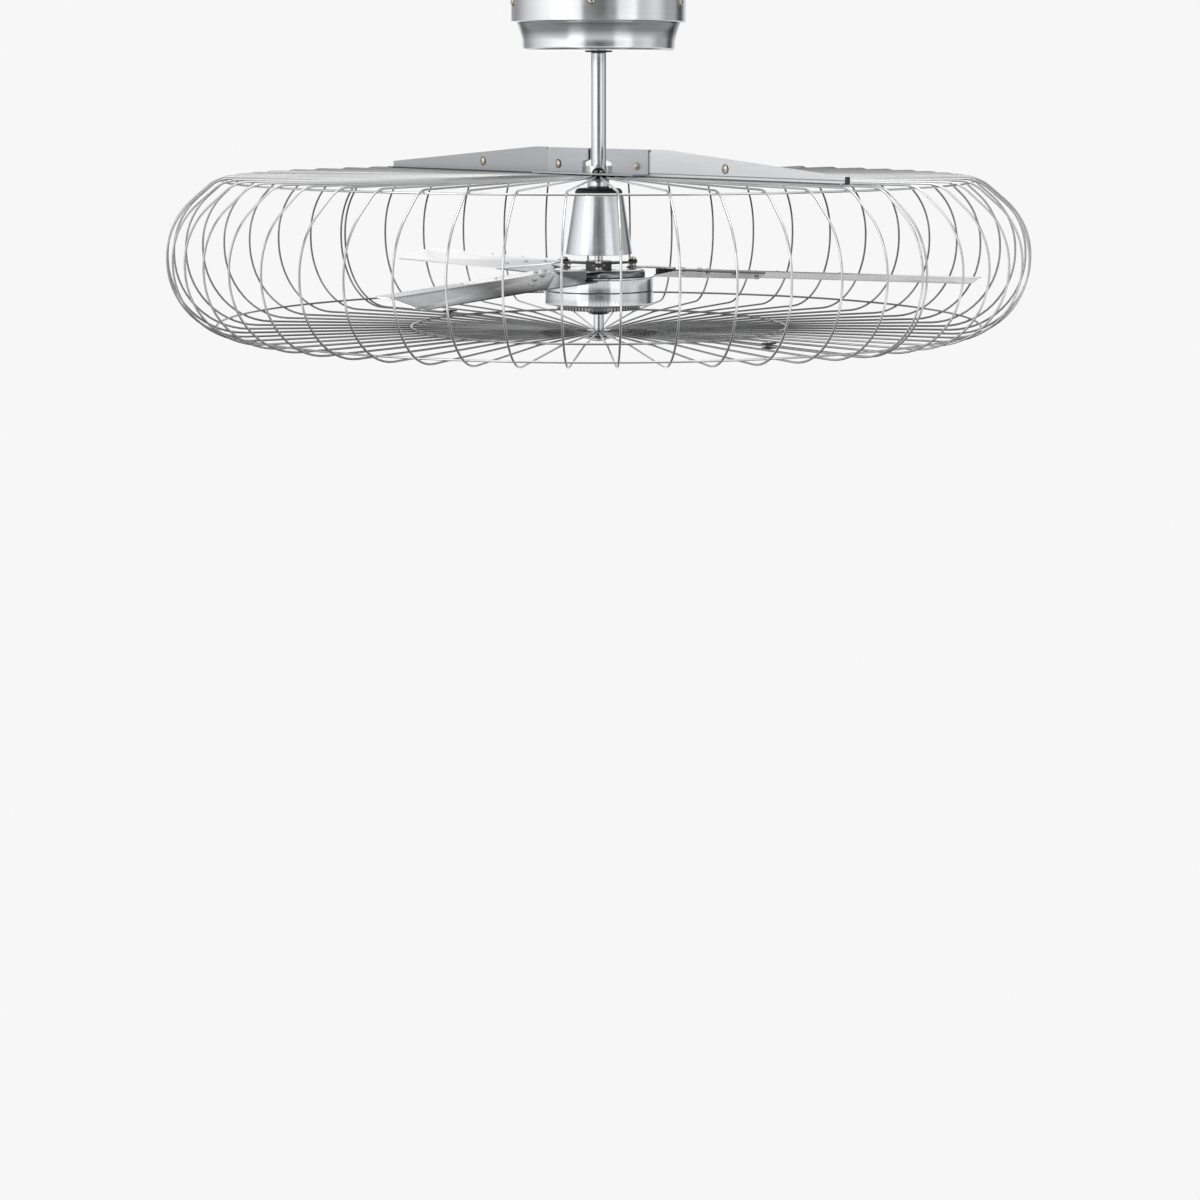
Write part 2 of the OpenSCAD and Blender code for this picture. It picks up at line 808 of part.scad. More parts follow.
module lower_collar() {
    color(aluminium) difference() {
        tube(lower_collar_d / 2, rod_r + seat, hub_plate_bottom, lower_collar_bottom);
        below((hub_plate_bottom + lower_collar_bottom) / 2) rotate([90, 0, 0])
            cylinder(r = m3_r + seat, h = lower_collar_d);
    }
}

// Cage wires: each wire is straight lengths and bends that meet end to end. The pieces of one wire go to
// two nodes in turn, its lengths and its links, so each piece is a solid of its own.
module wire_lengths(in_r) {
    below(hub_drop) translate([in_r, 0, 0]) rotate([0, 90, 0]) cylinder(d = wire_d, h = kink_x - in_r);
    translate([shoulder_x, 0, -shoulder_drop]) rotate([0, 90 + shoulder_a, 0])
        cylinder(d = wire_d, h = shoulder_l);
    translate([waist_r, 0, -waist_bottom]) cylinder(d = wire_d, h = waist_l);
    bent_wire(lower_bend_x, waist_bottom, lower_bend_r, -90, -45, wire_d);
    translate([inner_ring_r - run_joint, 0, ring_rise - cage_bottom]) rotate([0, -90 - inner_run_a, 0])
        cylinder(d = wire_d, h = (inner_ring_r - run_joint - in_r) / cos(inner_run_a));
}

module wire_links() {
    bent_wire(kink_x, kink_drop, kink_r, 90 - shoulder_a, 90, wire_d);
    bent_wire(upper_bend_x, waist_top, upper_bend_r, 0, 90 - shoulder_a, wire_d);
    bent_wire(lower_bend_x, waist_bottom, lower_bend_r, -45, 0, wire_d);
    translate([lower_bend_x, 0, -cage_bottom]) rotate([0, -90 + outer_run_a, 0])
        cylinder(d = wire_d, h = (lower_bend_x - inner_ring_r - run_joint) / cos(outer_run_a));
}

// Every second wire ends at the hub boss and the others stop short of it
function inner_end(k) = k % 2 == 0 ? even_in_r : odd_in_r;

// Direction of a wire from the start of its half; the wires spread evenly from the middle of the half
function wire_az(k, step) = 90 + (k - (wires_n - 1) / 2) * step;

module half_cage_lengths(step) {
    for (k = [1:wires_n - 2]) rotate([0, 0, wire_az(k, step)]) wire_lengths(inner_end(k));
    translate([0, pair_offset, 0]) wire_lengths(end_in_r);
    rotate([0, 0, 180]) translate([0, -pair_offset, 0]) wire_lengths(end_in_r);
}

module half_cage_links(step) {
    for (k = [1:wires_n - 2]) rotate([0, 0, wire_az(k, step)]) wire_links();
    translate([0, pair_offset, 0]) wire_links();
    rotate([0, 0, 180]) translate([0, -pair_offset, 0]) wire_links();
}

module front_cage_lengths() {
    color(bright_wire) rotate([0, 0, split_az + 180]) half_cage_lengths(front_step);
}

module front_cage_links() {
    color(bright_wire) rotate([0, 0, split_az + 180]) half_cage_links(front_step);
}

module back_cage_lengths() {
    color(bright_wire) rotate([0, 0, split_az]) half_cage_lengths(back_step);
}

module back_cage_links() {
    color(bright_wire) rotate([0, 0, split_az]) half_cage_links(back_step);
}

// Each ring is two half hoops, which end just short of the split
module half_hoops(r, drop) {
    stop = asin(1 / r);
    color(bright_wire) for (h = [0, 180]) below(drop) rotate([0, 0, split_az + h + stop])
        rotate_extrude(angle = 180 - 2 * stop) translate([r, 0]) circle(d = ring_d);
}

module top_ring() {
    half_hoops(top_ring_r, top_ring_drop);
}

module bottom_outer_ring() {
    half_hoops(outer_ring_r, outer_ring_drop);
}

module bottom_inner_ring() {
    half_hoops(inner_ring_r, inner_ring_drop);
}

// Bottom of the hub
module bottom_hub_plate() {
    color(aluminium_dark) difference() {
        union() {
            disc(boss_r, bottom_hub - wire_r - 1, bottom_plate_top + 0.5);
            disc(bottom_disc_r, bottom_plate_top, bottom_plate_bottom);
            disc(boss_r - 4, bottom_plate_top, bottom_plate_bottom + bottom_disc_gap);
            disc(bottom_disc_r, bottom_plate_bottom + bottom_disc_gap - bottom_disc_t,
                bottom_plate_bottom + bottom_disc_gap);
        }
        disc(lower_rod_r + seat, 0, 3 * hub_drop);
    }
}

module bottom_nut() {
    nut_top = bottom_plate_bottom + bottom_disc_gap;
    color(steel) difference() {
        disc(11, nut_top, lower_rod_bottom + 2);
        disc(lower_rod_r + seat, nut_top - eps, lower_rod_bottom + 0.05);
    }
}

module at_clamps() {
    rise = (lower_bend_x - clamp_s) * tan(outer_run_a);
    for (a = [0, 180]) rotate([0, 0, split_az + a]) translate([clamp_s, 0, -cage_bottom + rise]) children();
}

clamp_t = 3;
clamp_w = 6;
clamp_l = 24;

module clamp_bars() {
    color(black) at_clamps() difference() {
        for (z = [wire_r + weld, -wire_r - weld - clamp_t]) translate([-clamp_w / 2, -clamp_l / 2, z])
            cube([clamp_w, clamp_l, clamp_t]);
        cylinder(r = m3_r + seat, h = 40, center = true);
    }
}

module clamp_screws() {
    color(brass) at_clamps() {
        translate([0, 0, wire_r + weld + clamp_t]) pan_screw(m3_r, 2 * clamp_t + wire_d + 4);
        translate([0, 0, -wire_r - weld - clamp_t - 2.5]) hex_nut(2 * m3_r, 2.5);
    }
}

// Cone cover with its cap
module cone_cap() {
    round_r = 0.7 * cap_h;
    color(black) rotate_extrude() difference() {
        intersection() {
            union() {
                translate([0, -cap_bottom]) square([cap_d / 2, cap_h - round_r]);
                translate([0, -cap_bottom]) square([cap_d / 2 - round_r, cap_h]);
                translate([cap_d / 2 - round_r, -lower_collar_bottom - round_r]) circle(r = round_r);
            }
            translate([0, -cap_bottom]) square([cap_d, cap_h]);
        }
        translate([0, -cap_bottom - eps]) square([rod_r + seat, cap_h + 2 * eps]);
    }
}

module cone_cover() {
    top_r = cone_top_d / 2;
    bottom_r = cone_bottom_d / 2;
    color(aluminium) rotate_extrude() polygon([
        [rod_r + 4, -cap_bottom],
        [top_r, -cap_bottom],
        [top_r + 0.4, -cap_bottom - 3],
        [bottom_r, -cone_bottom],
        [bottom_r - cone_wall, -cone_bottom],
        [top_r + 0.4 - cone_wall, -cap_bottom - 3],
        [top_r - cone_wall, -cap_bottom - cone_wall],
        [rod_r + 4, -cap_bottom - cone_wall]
    ]);
}

module shaft_coupling() {
    color(steel) difference() {
        union() {
            disc(coupling_flange_r, coupling_top, coupling_top + 3);
            disc(coupling_r, coupling_top, coupling_bottom);
        }
        disc(rod_r + seat, coupling_top - eps, rod_end + 1);
        disc(shaft_r + seat, coupling_top, coupling_bottom + eps);
        at_coupling_pin() cylinder(r = pin_r + seat, h = 4 * coupling_r, center = true);
        at_set_screws() translate([0, 0, -coupling_r]) cylinder(r = pin_r + seat, h = 2 * coupling_r);
    }
}

// Motor, fixed side
module motor_shaft() {
    color(steel) difference() {
        disc(shaft_r, shaft_top, shaft_bottom);
        disc(lead_r + apart, shaft_top - eps, stator_top + 5);
    }
}

module bearing_inner_rings() {
    color(steel) for (t = [upper_bearing_top, lower_bearing_top])
        tube(shaft_r + seat + race_t, shaft_r + seat / 2, t, t + bearing_w);
}

module tooth_outline(out_r, in_r) {
    pole_w = 0.62 * 2 * PI * out_r / teeth_n;
    neck_w = 0.34 * pole_w;
    intersection() {
        union() {
            translate([in_r - 2, -neck_w / 2]) square([out_r - in_r, neck_w]);
            translate([out_r - 4, -pole_w / 2]) square([6, pole_w]);
        }
        circle(r = out_r);
    }
}

stator_yoke_r = 0.42 * stator_d / 2;

module stator_core() {
    color(aluminium_dark) translate([0, 0, -stator_bottom]) linear_extrude(stator_h) difference() {
        union() {
            circle(r = stator_yoke_r);
            for (i = [0:teeth_n - 1]) rotate([0, 0, i * 360 / teeth_n])
                tooth_outline(stator_d / 2, stator_yoke_r);
        }
        circle(r = shaft_r + seat / 2);
    }
}

module stator_windings() {
    pole_w = 0.62 * 2 * PI * stator_d / 2 / teeth_n;
    neck_w = 0.34 * pole_w + 2 * seat;
    inner_x = stator_yoke_r / cos(360 / teeth_n / 2) + 5;
    outer_x = stator_d / 2 - 4 - apart;
    coil_w = min(0.8 * pole_w, 2 * (inner_x - 2) * tan(180 / teeth_n));
    color(copper) for (i = [0:teeth_n - 1]) rotate([0, 0, i * 360 / teeth_n]) difference() {
        translate([inner_x, -coil_w / 2, -stator_bottom - coil_out])
            cube([outer_x - inner_x, coil_w, stator_h + 2 * coil_out]);
        translate([inner_x - eps, -neck_w / 2, -stator_bottom - seat])
            cube([outer_x - inner_x + 2 * eps, neck_w, stator_h + 2 * seat]);
    }
}

module lower_rod() {
    color(aluminium) difference() {
        disc(lower_rod_r, lower_rod_top, lower_rod_bottom);
        disc(shaft_r + seat, lower_rod_top - eps, shaft_bottom + 0.5);
    }
}

// Motor, turning side
module bearing_outer_rings() {
    color(steel) for (t = [upper_bearing_top, lower_bearing_top])
        tube(bearing_r, shaft_r + seat + race_t + slide, t, t + bearing_w);
}

module at_posts() {
    around(3, blade_az + post_turn) translate([post_r, 0, 0]) children();
}

module at_cover_screws() {
    side_drop = rotor_top + cover_chamfer + 1.5;
    below(side_drop) around(3, blade_az + post_turn) translate([cover_r, 0, 0]) rotate([0, 90, 0]) children();
}

module rotor_cover() {
    color(aluminium_dark) difference() {
        rotate_extrude() polygon([
            [shaft_r + apart, -rotor_top],
            [cover_r - cover_chamfer, -rotor_top],
            [cover_r, -rotor_top - cover_chamfer],
            [cover_r, -drum_top],
            [shaft_r + apart, -drum_top]
        ]);
        disc(bearing_r + seat / 2, upper_bearing_top, drum_top + eps);
        at_posts() disc(post_shank_r + seat, rotor_top - eps, post_low + 0.2);
        at_cover_screws() translate([0, 0, -6]) cylinder(r = m3_r + seat, h = 8);
    }
}

module cover_screws() {
    color(brass) at_cover_screws() pan_screw(m3_r, 5.5);
}

module drum_upper() {
    hole_r = bearing_r + seat_wall;
    color(aluminium) rotate_extrude() polygon([
        [hole_r, -drum_top],
        [drum_r + drum_lip, -drum_top],
        [drum_r + drum_lip, -drum_top - 2],
        [drum_r, -drum_top - 2.6],
        [drum_r, -gasket_top],
        [drum_r - drum_wall, -gasket_top],
        [drum_r - drum_wall, -drum_top - drum_top_t],
        [hole_r, -drum_top - drum_top_t]
    ]);
}

module drum_gasket() {
    color(black) tube(drum_r - 1, drum_r - drum_wall, gasket_top, drum_lower_top);
}

module drum_lower() {
    boss_out = bearing_r + seat_wall;
    floor_top = drum_bottom - drum_floor_t;
    color(aluminium) rotate_extrude() polygon([
        [drum_r, -drum_lower_top],
        [drum_r, -drum_bottom + drum_edge],
        [drum_r - 0.3 * drum_edge, -drum_bottom + 0.3 * drum_edge],
        [drum_r - drum_edge, -drum_bottom],
        [boss_out, -drum_bottom],
        [boss_out, -vent_bottom],
        [bearing_r + seat / 2, -vent_bottom],
        [bearing_r + seat / 2, -lower_bearing_top + 1],
        [boss_out + 0.5 * seat_wall, -lower_bearing_top + 1],
        [boss_out + 0.5 * seat_wall, -floor_top],
        [drum_r - drum_wall, -floor_top],
        [drum_r - drum_wall, -drum_lower_top]
    ]);
}

module rotor_ring() {
    ring_top = drum_top + drum_top_t + 1;
    ring_bottom = drum_bottom - drum_floor_t;
    color(steel) tube(drum_r - drum_wall - seat, rotor_in_r, ring_top, ring_bottom);
}

module vent_ring() {
    vent_r = vent_d / 2;
    color(aluminium) translate([0, 0, -vent_bottom]) linear_extrude(vent_h) difference() {
        circle(r = vent_r);
        circle(r = bearing_r + seat_wall + seat);
        for (i = [0:fins_n - 1]) rotate([0, 0, i * 360 / fins_n])
            translate([vent_r - 3, -0.26 * 2 * PI * vent_r / fins_n])
            square([6, 0.52 * 2 * PI * vent_r / fins_n]);
    }
}

module bearing_cap() {
    r = bearing_cap_d / 2;
    color(aluminium) rotate_extrude() polygon([
        [shaft_r + apart, -vent_bottom],
        [r, -vent_bottom],
        [r, -vent_bottom - 2.5],
        [r - 1.5, -vent_bottom - 4.5],
        [r - 5, -cap_low],
        [shaft_r + apart, -cap_low]
    ]);
}

// Spider
module spider() {
    hub_r = spider_hub_d / 2;
    color(black) difference() {
        union() {
            disc(hub_r, spider_top, spider_bottom);
            around(3, blade_az + post_turn) translate([0, 0, -arm_bottom]) linear_extrude(arm_t)
                union() {
                    polygon([
                        [hub_r - 5, -12], [post_r, -5], [post_r, 5], [hub_r - 5, 12]
                    ]);
                    translate([post_r, 0]) circle(r = bush_r);
                }
        }
        disc(shaft_r + apart, 0, 2 * rotor_top);
        around(3, blade_az + post_turn) translate([0, 0, -arm_bottom - eps]) linear_extrude(arm_t + 2 * eps)
            polygon([[hub_r + 2.5, -6.5], [post_r - 9, -1], [post_r - 9, 1], [hub_r + 2.5, 6.5]]);
        at_posts() disc(post_shank_r + seat, 0, 2 * rotor_top);
    }
}

module brass_posts() {
    color(brass) at_posts() {
        disc(post_shank_r, post_top, post_low);
        disc(post_head_r, post_top, arm_top - bush_t);
        tube(post_head_r, post_shank_r - 0.5, arm_bottom, tab_top);
    }
}

module rubber_bushes() {
    color(black) at_posts() tube(bush_r, post_shank_r + seat, arm_top - bush_t, arm_top);
}

// Blades, in the frame of one blade: x along it, y towards the lower edge
module on_blade(i) {
    rotate([0, 0, blade_az + 120 * i]) children();
}

function upper_slope(i) = upper_strip_a + blade_twists[i];
function lower_slope(i) = lower_strip_a + blade_twists[i];

function sheet_line(i, lift) = [
    [upper_edge_w - sheet_spare, (upper_strip_w + sheet_spare) * tan(upper_slope(i)) + lift],
    [-fold_w, lift],
    [lower_edge_w + sheet_spare, -(lower_strip_w + sheet_spare) * tan(lower_slope(i)) + lift]
];

// A folded sheet between two lifts above the fold line, as long as the blade
module folded_sheet(i, low, high) {
    a = sheet_line(i, low);
    b = sheet_line(i, high);
    below(fold_drop) rotate([0, blade_droops[i], 0]) rotate([90, 0, 90]) linear_extrude(tip_r + 5 * sheet_spare)
        polygon([a[0], a[1], a[2], b[2], b[1], b[0]]);
}

module plan_extrude() {
    below(rotor_top + 10 * sheet_spare) linear_extrude(20 * sheet_spare) children();
}

module blade_plan() {
    corner = tip_corner_r;
    polygon([
        [root_s, upper_edge_w],
        [tip_r - tip_nick, upper_edge_w],
        [tip_r, upper_edge_w + tip_nick],
        [tip_r, lower_edge_w - corner],
        [tip_r - 0.08 * corner, lower_edge_w - 0.62 * corner],
        [tip_r - 0.29 * corner, lower_edge_w - 0.29 * corner],
        [tip_r - 0.62 * corner, lower_edge_w - 0.08 * corner],
        [tip_r - corner, lower_edge_w],
        [root_s + root_cut_l, lower_edge_w],
        [root_s + root_knee, 0]
    ]);
}

function sheet_drop(i, s, w, a) = fold_drop + s * tan(blade_droops[i]) + (w + fold_w) * tan(a);

// Stands a child on the sheet's upper face and turns it square to that face
module on_sheet(i, s, w, a) {
    translate([s, w, -sheet_drop(i, s, w, a)]) rotate([-a, blade_droops[i], 0]) children();
}

module at_upper_screws(i) {
    for (f = [0.07, 0.29])
        on_sheet(i, root_s + f * root_cut_l, -fold_w - 0.6 * upper_strip_w, upper_slope(i)) children();
}

module at_lower_screws(i) {
    for (f = [[0.41, 0.1], [0.77, 0.3], [1.07, 0.6]])
        on_sheet(i, root_s + f[0] * root_cut_l, f[1] * lower_strip_w - fold_w, lower_slope(i)) children();
}

module blade_screw_holes(i) {
    at_upper_screws(i) cylinder(r = blade_screw_r + seat, h = 6 * blade_t, center = true);
    at_lower_screws(i) cylinder(r = blade_screw_r + seat, h = 6 * blade_t, center = true);
}

module blade_screw(a) {
    translate([0, 0, slide]) pan_screw(blade_screw_r, 2 * blade_t + blade_nut_t + 1);
    translate([0, 0, -2 * blade_t * cos(a) - slide - blade_nut_t]) hex_nut(2 * blade_screw_r, blade_nut_t);
}

module blade_screws() {
    color(steel) for (i = [0:2]) on_blade(i) {
        at_upper_screws(i) blade_screw(upper_slope(i));
        at_lower_screws(i) blade_screw(lower_slope(i));
    }
}

module blade(i) {
    color(aluminium) on_blade(i) difference() {
        intersection() {
            folded_sheet(i, -blade_t, 0);
            plan_extrude() blade_plan();
        }
        blade_screw_holes(i);
    }
}

module iron_plan() {
    polygon([
        riser_in,
        [riser_in[0] - 4, upper_edge_w + 3],
        [root_s + 44, upper_edge_w + 3],
        [root_s + 54, 3 - fold_w],
        [iron_end, 5 - fold_w],
        [iron_end - 5, lower_edge_w - 3],
        riser_out
    ]);
}

module riser_plan() {
    polygon([riser_in, riser_end, riser_end - [2, 1.2], riser_in - [2, 1.2]]);
}

module tab_plan() {
    union() {
        polygon([
            [post_s - 6, post_w - 6],
            riser_in - [4, 3],
            riser_in,
            riser_end,
            riser_end + [-4, 4],
            [post_s + 2, post_w + 8]
        ]);
        translate([post_s, post_w]) circle(r = 9);
    }
}

module blade_iron(i) {
    color(aluminium_dark) on_blade(i) difference() {
        union() {
            intersection() {
                folded_sheet(i, -2 * blade_t, -blade_t);
                plan_extrude() iron_plan();
            }
            intersection() {
                folded_sheet(i, -2 * blade_t, 30);
                below(tab_top + 60) linear_extrude(60) riser_plan();
            }
            below(rotor_top) linear_extrude(blade_t) tab_plan();
        }
        translate([post_s, post_w, 0]) disc(post_shank_r + seat, 0, 2 * rotor_top);
        blade_screw_holes(i);
    }
}

module blade_1() {
    blade(0);
}

module blade_2() {
    blade(1);
}

module blade_3() {
    blade(2);
}

module blade_iron_1() {
    blade_iron(0);
}

module blade_iron_2() {
    blade_iron(1);
}

module blade_iron_3() {
    blade_iron(2);
}

ceiling_bracket();
hanger_saddle();
saddle_screws();
terminal_block();
run_capacitor();
canopy_band();
canopy_cup();
canopy_screws();
canopy_grommet();
ball_liner();
hanger_ball();
rod_pins();
downrod();
supply_lead();
upper_collar();
collar_screws();
front_centre_bracket();
back_centre_bracket();
front_bars();
back_bars();
bar_bolts();
top_hub_plates();
lower_collar();
front_cage_lengths();
front_cage_links();
back_cage_lengths();
back_cage_links();
top_ring();
bottom_outer_ring();
bottom_inner_ring();
bottom_hub_plate();
bottom_nut();
clamp_bars();
clamp_screws();
cone_cap();
cone_cover();
shaft_coupling();
motor_shaft();
bearing_inner_rings();
stator_core();
stator_windings();
lower_rod();
bearing_outer_rings();
rotor_cover();
cover_screws();
drum_upper();
drum_gasket();
drum_lower();
rotor_ring();
vent_ring();
bearing_cap();
spider();
brass_posts();
rubber_bushes();
blade_screws();
blade_iron_1();
blade_iron_2();
blade_iron_3();
blade_1();
blade_2();
blade_3();
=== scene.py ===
"""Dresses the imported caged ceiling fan: finer shapes, metal finishes, light and camera.

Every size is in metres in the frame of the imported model: the origin is on the downrod's axis at the
ceiling face, +Z is up and the photograph's camera stands on the -Y side.
"""

from __future__ import annotations

import json
import logging
import math
from dataclasses import dataclass, field, replace
from enum import Enum
from typing import Callable, Iterable, Sequence

import bmesh
import bpy
from mathutils import Matrix, Vector

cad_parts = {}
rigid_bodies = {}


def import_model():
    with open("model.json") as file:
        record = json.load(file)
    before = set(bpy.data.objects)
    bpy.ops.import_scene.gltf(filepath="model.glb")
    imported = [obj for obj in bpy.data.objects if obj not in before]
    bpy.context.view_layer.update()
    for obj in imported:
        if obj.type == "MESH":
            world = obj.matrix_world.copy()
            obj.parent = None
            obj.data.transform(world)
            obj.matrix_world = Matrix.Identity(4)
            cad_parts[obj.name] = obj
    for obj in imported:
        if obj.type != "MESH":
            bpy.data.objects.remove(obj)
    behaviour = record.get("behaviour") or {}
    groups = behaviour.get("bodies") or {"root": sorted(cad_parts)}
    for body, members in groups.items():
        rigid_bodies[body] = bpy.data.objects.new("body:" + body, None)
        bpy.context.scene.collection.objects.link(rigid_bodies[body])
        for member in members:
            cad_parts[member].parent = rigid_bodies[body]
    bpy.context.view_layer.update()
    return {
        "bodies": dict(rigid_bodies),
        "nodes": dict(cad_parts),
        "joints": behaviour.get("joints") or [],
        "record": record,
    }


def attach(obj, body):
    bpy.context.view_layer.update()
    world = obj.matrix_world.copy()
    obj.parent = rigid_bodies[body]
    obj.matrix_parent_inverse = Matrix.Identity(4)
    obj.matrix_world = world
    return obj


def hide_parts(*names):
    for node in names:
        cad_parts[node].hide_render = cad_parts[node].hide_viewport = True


log = logging.getLogger("caged_fan")

Point = tuple[float, float, float]
Profile = Sequence[tuple[float, float]]
Colour = tuple[float, float, float]

SPLIT_TURN: float = -47.7
"""Direction, in degrees from +X, of the line where the two half cages meet."""
PLAY: float = 0.00005
"""Gap left between faces that touch on the real fan."""
BAR_FOOT: float = -0.2672
"""Height of the bars' foot and of the upper collar's underside."""


class Slot(str, Enum):
    """Material slots of the record, listed beside each new piece."""

    ZINC = "zinc_steel"
    ROD = "satin_rod"
    GREY_SHEET = "grey_sheet"
    SPUN = "spun_aluminium"
    WIRE = "bright_wire"
    BLADE = "blade_sheet"
    DARK_ROTOR = "dark_rotor"
    BLACK_METAL = "black_metal"
    BRASS = "brass_screws"
    RUBBER = "black_rubber"


class Body(str, Enum):
    """Moving bodies of the record."""

    MOUNT = "ceiling_mount"
    HANGING = "hanging_fan"
    ROTOR = "rotor"


class Grain(Enum):
    """Which way the tool marks of a finish run."""

    TURNED = "turned"
    DRAWN = "drawn"
    PLAIN = "plain"


# Modelling


class Bench:
    """Modelling steps that work on one piece at a time."""

    @staticmethod
    def clear() -> None:
        """Leave edit mode and deselect everything."""
        if bpy.context.object and bpy.context.object.mode != "OBJECT":
            bpy.ops.object.mode_set(mode="OBJECT")
        bpy.ops.object.select_all(action="DESELECT")

    @classmethod
    def take(cls, piece: bpy.types.Object) -> None:
        """Make one piece the only selected and active one."""
        cls.clear()
        piece.select_set(True)
        bpy.context.view_layer.objects.active = piece

    @classmethod
    def trace(cls, name: str, points: Sequence[Point], closed: bool = True) -> bpy.types.Object:
        """Draw a line through points by extruding one vertex.

        Args:
            name: name of the new piece.
            points: the corners, in order.
            closed: whether the last corner joins the first.

        Returns:
            The piece, left in edit mode with everything selected.
        """
        cls.clear()
        bpy.ops.mesh.primitive_plane_add(size=0.01, location=(0, 0, 0))
        piece = bpy.context.object
        piece.name = name
        bpy.ops.object.mode_set(mode="EDIT")
        bpy.ops.mesh.select_mode(type="VERT")
        bpy.ops.mesh.select_all(action="SELECT")
        bpy.ops.mesh.merge(type="CENTER")
        bpy.ops.transform.translate(value=points[0])
        path = list(points) + ([points[0]] if closed else [])
        for before, after in zip(path, path[1:]):
            step = Vector(after) - Vector(before)
            bpy.ops.mesh.extrude_region_move(TRANSFORM_OT_translate={"value": step})
        bpy.ops.mesh.select_all(action="SELECT")
        if closed:
            bpy.ops.mesh.remove_doubles(threshold=1e-6)
        return piece

    @classmethod
    def turn(cls, name: str, profile: Profile, closed: bool = True, steps: int = 128,
             edge: float = 0.0003) -> bpy.types.Object:
        """Turn a profile round the upright axis, as on a lathe.

        Args:
            name: name of the new piece.
            profile: (radius, height) corners.
            closed: False where the profile starts and ends on the axis.
            steps: facets round the piece.
            edge: radius of its edges, or 0.

        Returns:
            The finished piece.
        """
        piece = cls.trace(name, [(r, 0.0, z) for r, z in profile], closed)
        bpy.ops.mesh.spin(steps=steps, angle=math.tau, center=(0, 0, 0), axis=(0, 0, 1))
        bpy.ops.mesh.select_all(action="SELECT")
        bpy.ops.mesh.remove_doubles(threshold=2e-6)
        bpy.ops.mesh.normals_make_consistent(inside=False)
        bpy.ops.object.mode_set(mode="OBJECT")
        return cls.soften(piece, edge)

    @classmethod
    def tube(cls, name: str, radii: tuple[float, float], heights: tuple[float, float], steps: int = 128,
             edge: float = 0.0) -> bpy.types.Object:
        """Turn a plain tube.

        Args:
            name: name of the new piece.
            radii: its bore and its outside.
            heights: of its two ends.
            steps: facets round the piece.
            edge: radius of its edges, or 0.

        Returns:
            The tube.
        """
        (bore, out), (first, last) = radii, heights
        corners = [(bore, first), (out, first), (out, last), (bore, last)]
        return cls.turn(name, corners, steps=steps, edge=edge)

    @classmethod
    def soften(cls, piece: bpy.types.Object, edge: float, segments: int = 2, angle: float = 28.0
               ) -> bpy.types.Object:
        """Round a piece's edges and shade it smooth.

        Args:
            piece: the piece.
            edge: radius of the edges, or 0 for none.
            segments: facets across an edge.
            angle: edges sharper than this, in degrees, are rounded and stay crisp.

        Returns:
            The same piece.
        """
        cls.take(piece)
        if edge > 0:
            bevel = piece.modifiers.new("edges", "BEVEL")
            bevel.width = edge
            bevel.segments = segments
            bevel.limit_method = "ANGLE"
            bevel.angle_limit = math.radians(angle)
            bpy.ops.object.modifier_apply(modifier=bevel.name)
        bpy.ops.object.shade_smooth_by_angle(angle=math.radians(angle + 8))
        return piece

    @classmethod
    def join(cls, name: str, pieces: Sequence[bpy.types.Object]) -> bpy.types.Object:
        """Join pieces into one object under a name."""
        cls.clear()
        for piece in pieces:
            piece.select_set(True)
        bpy.context.view_layer.objects.active = pieces[0]
        if len(pieces) > 1:
            bpy.ops.object.join()
        pieces[0].name = name
        return pieces[0]

    @classmethod
    def repeat(cls, name: str, pattern: bpy.types.Object, places: Sequence[Matrix]) -> bpy.types.Object:
        """Copy a pattern piece to every place, each with its own mesh, and join the copies.

        Args:
            name: name of the joined piece.
            pattern: the piece to copy; it is used up.
            places: where each copy goes.

        Returns:
            The joined piece.
        """
        twins = []
        for place in places:
            twin = pattern.copy()
            twin.data = pattern.data.copy()
            twin.data.transform(place)
            bpy.context.scene.collection.objects.link(twin)
            twins.append(twin)
        bpy.data.objects.remove(pattern)
        return cls.join(name, twins)

    @classmethod
    def cut(cls, piece: bpy.types.Object, tool: bpy.types.Object) -> bpy.types.Object:
        """Cut a tool's shape out of a piece and throw the tool away."""
        cls.take(piece)
        knife = piece.modifiers.new("cut", "BOOLEAN")
        knife.operation = "DIFFERENCE"
        knife.solver = "EXACT"
        knife.use_self = True
        knife.object = tool
        bpy.ops.object.modifier_apply(modifier=knife.name)
        bpy.data.objects.remove(tool)
        return piece

    @classmethod
    def block(cls, name: str, size: Point, centre: Point) -> bpy.types.Object:
        """A block that later steps shape or cut with."""
        cls.clear()
        bpy.ops.mesh.primitive_cube_add(size=1.0, location=centre)
        piece = bpy.context.object
        piece.name = name
        bpy.ops.transform.resize(value=size)
        bpy.ops.object.transform_apply(location=True, rotation=True, scale=True)
        return piece

    @staticmethod
    def pick(test: Callable[[Vector], bool]) -> None:
        """In edit mode, select only the vertices whose place passes a test."""
        bpy.ops.mesh.select_mode(type="VERT")
        bpy.ops.mesh.select_all(action="DESELECT")
        mesh = bmesh.from_edit_mesh(bpy.context.object.data)
        for vert in mesh.verts:
            vert.select_set(bool(test(vert.co)))
        mesh.select_flush_mode()
        bmesh.update_edit_mesh(bpy.context.object.data)


def arc(centre: tuple[float, float], radius: float, angles: Iterable[float]) -> list[tuple[float, float]]:
    """Points of a profile on a circle, at angles in degrees."""
    return [(centre[0] + radius * math.cos(math.radians(a)), centre[1] + radius * math.sin(math.radians(a)))
            for a in angles]


def turned(angle: float) -> Matrix:
    """A turn about the upright axis, in degrees."""
    return Matrix.Rotation(math.radians(angle), 4, "Z")


def facing(place: Point, towards: Point) -> Matrix:
    """A place for a screw whose head looks towards a direction."""
    aim = Vector(towards).normalized().to_track_quat("Z", "Y").to_matrix().to_4x4()
    return Matrix.Translation(place) @ aim


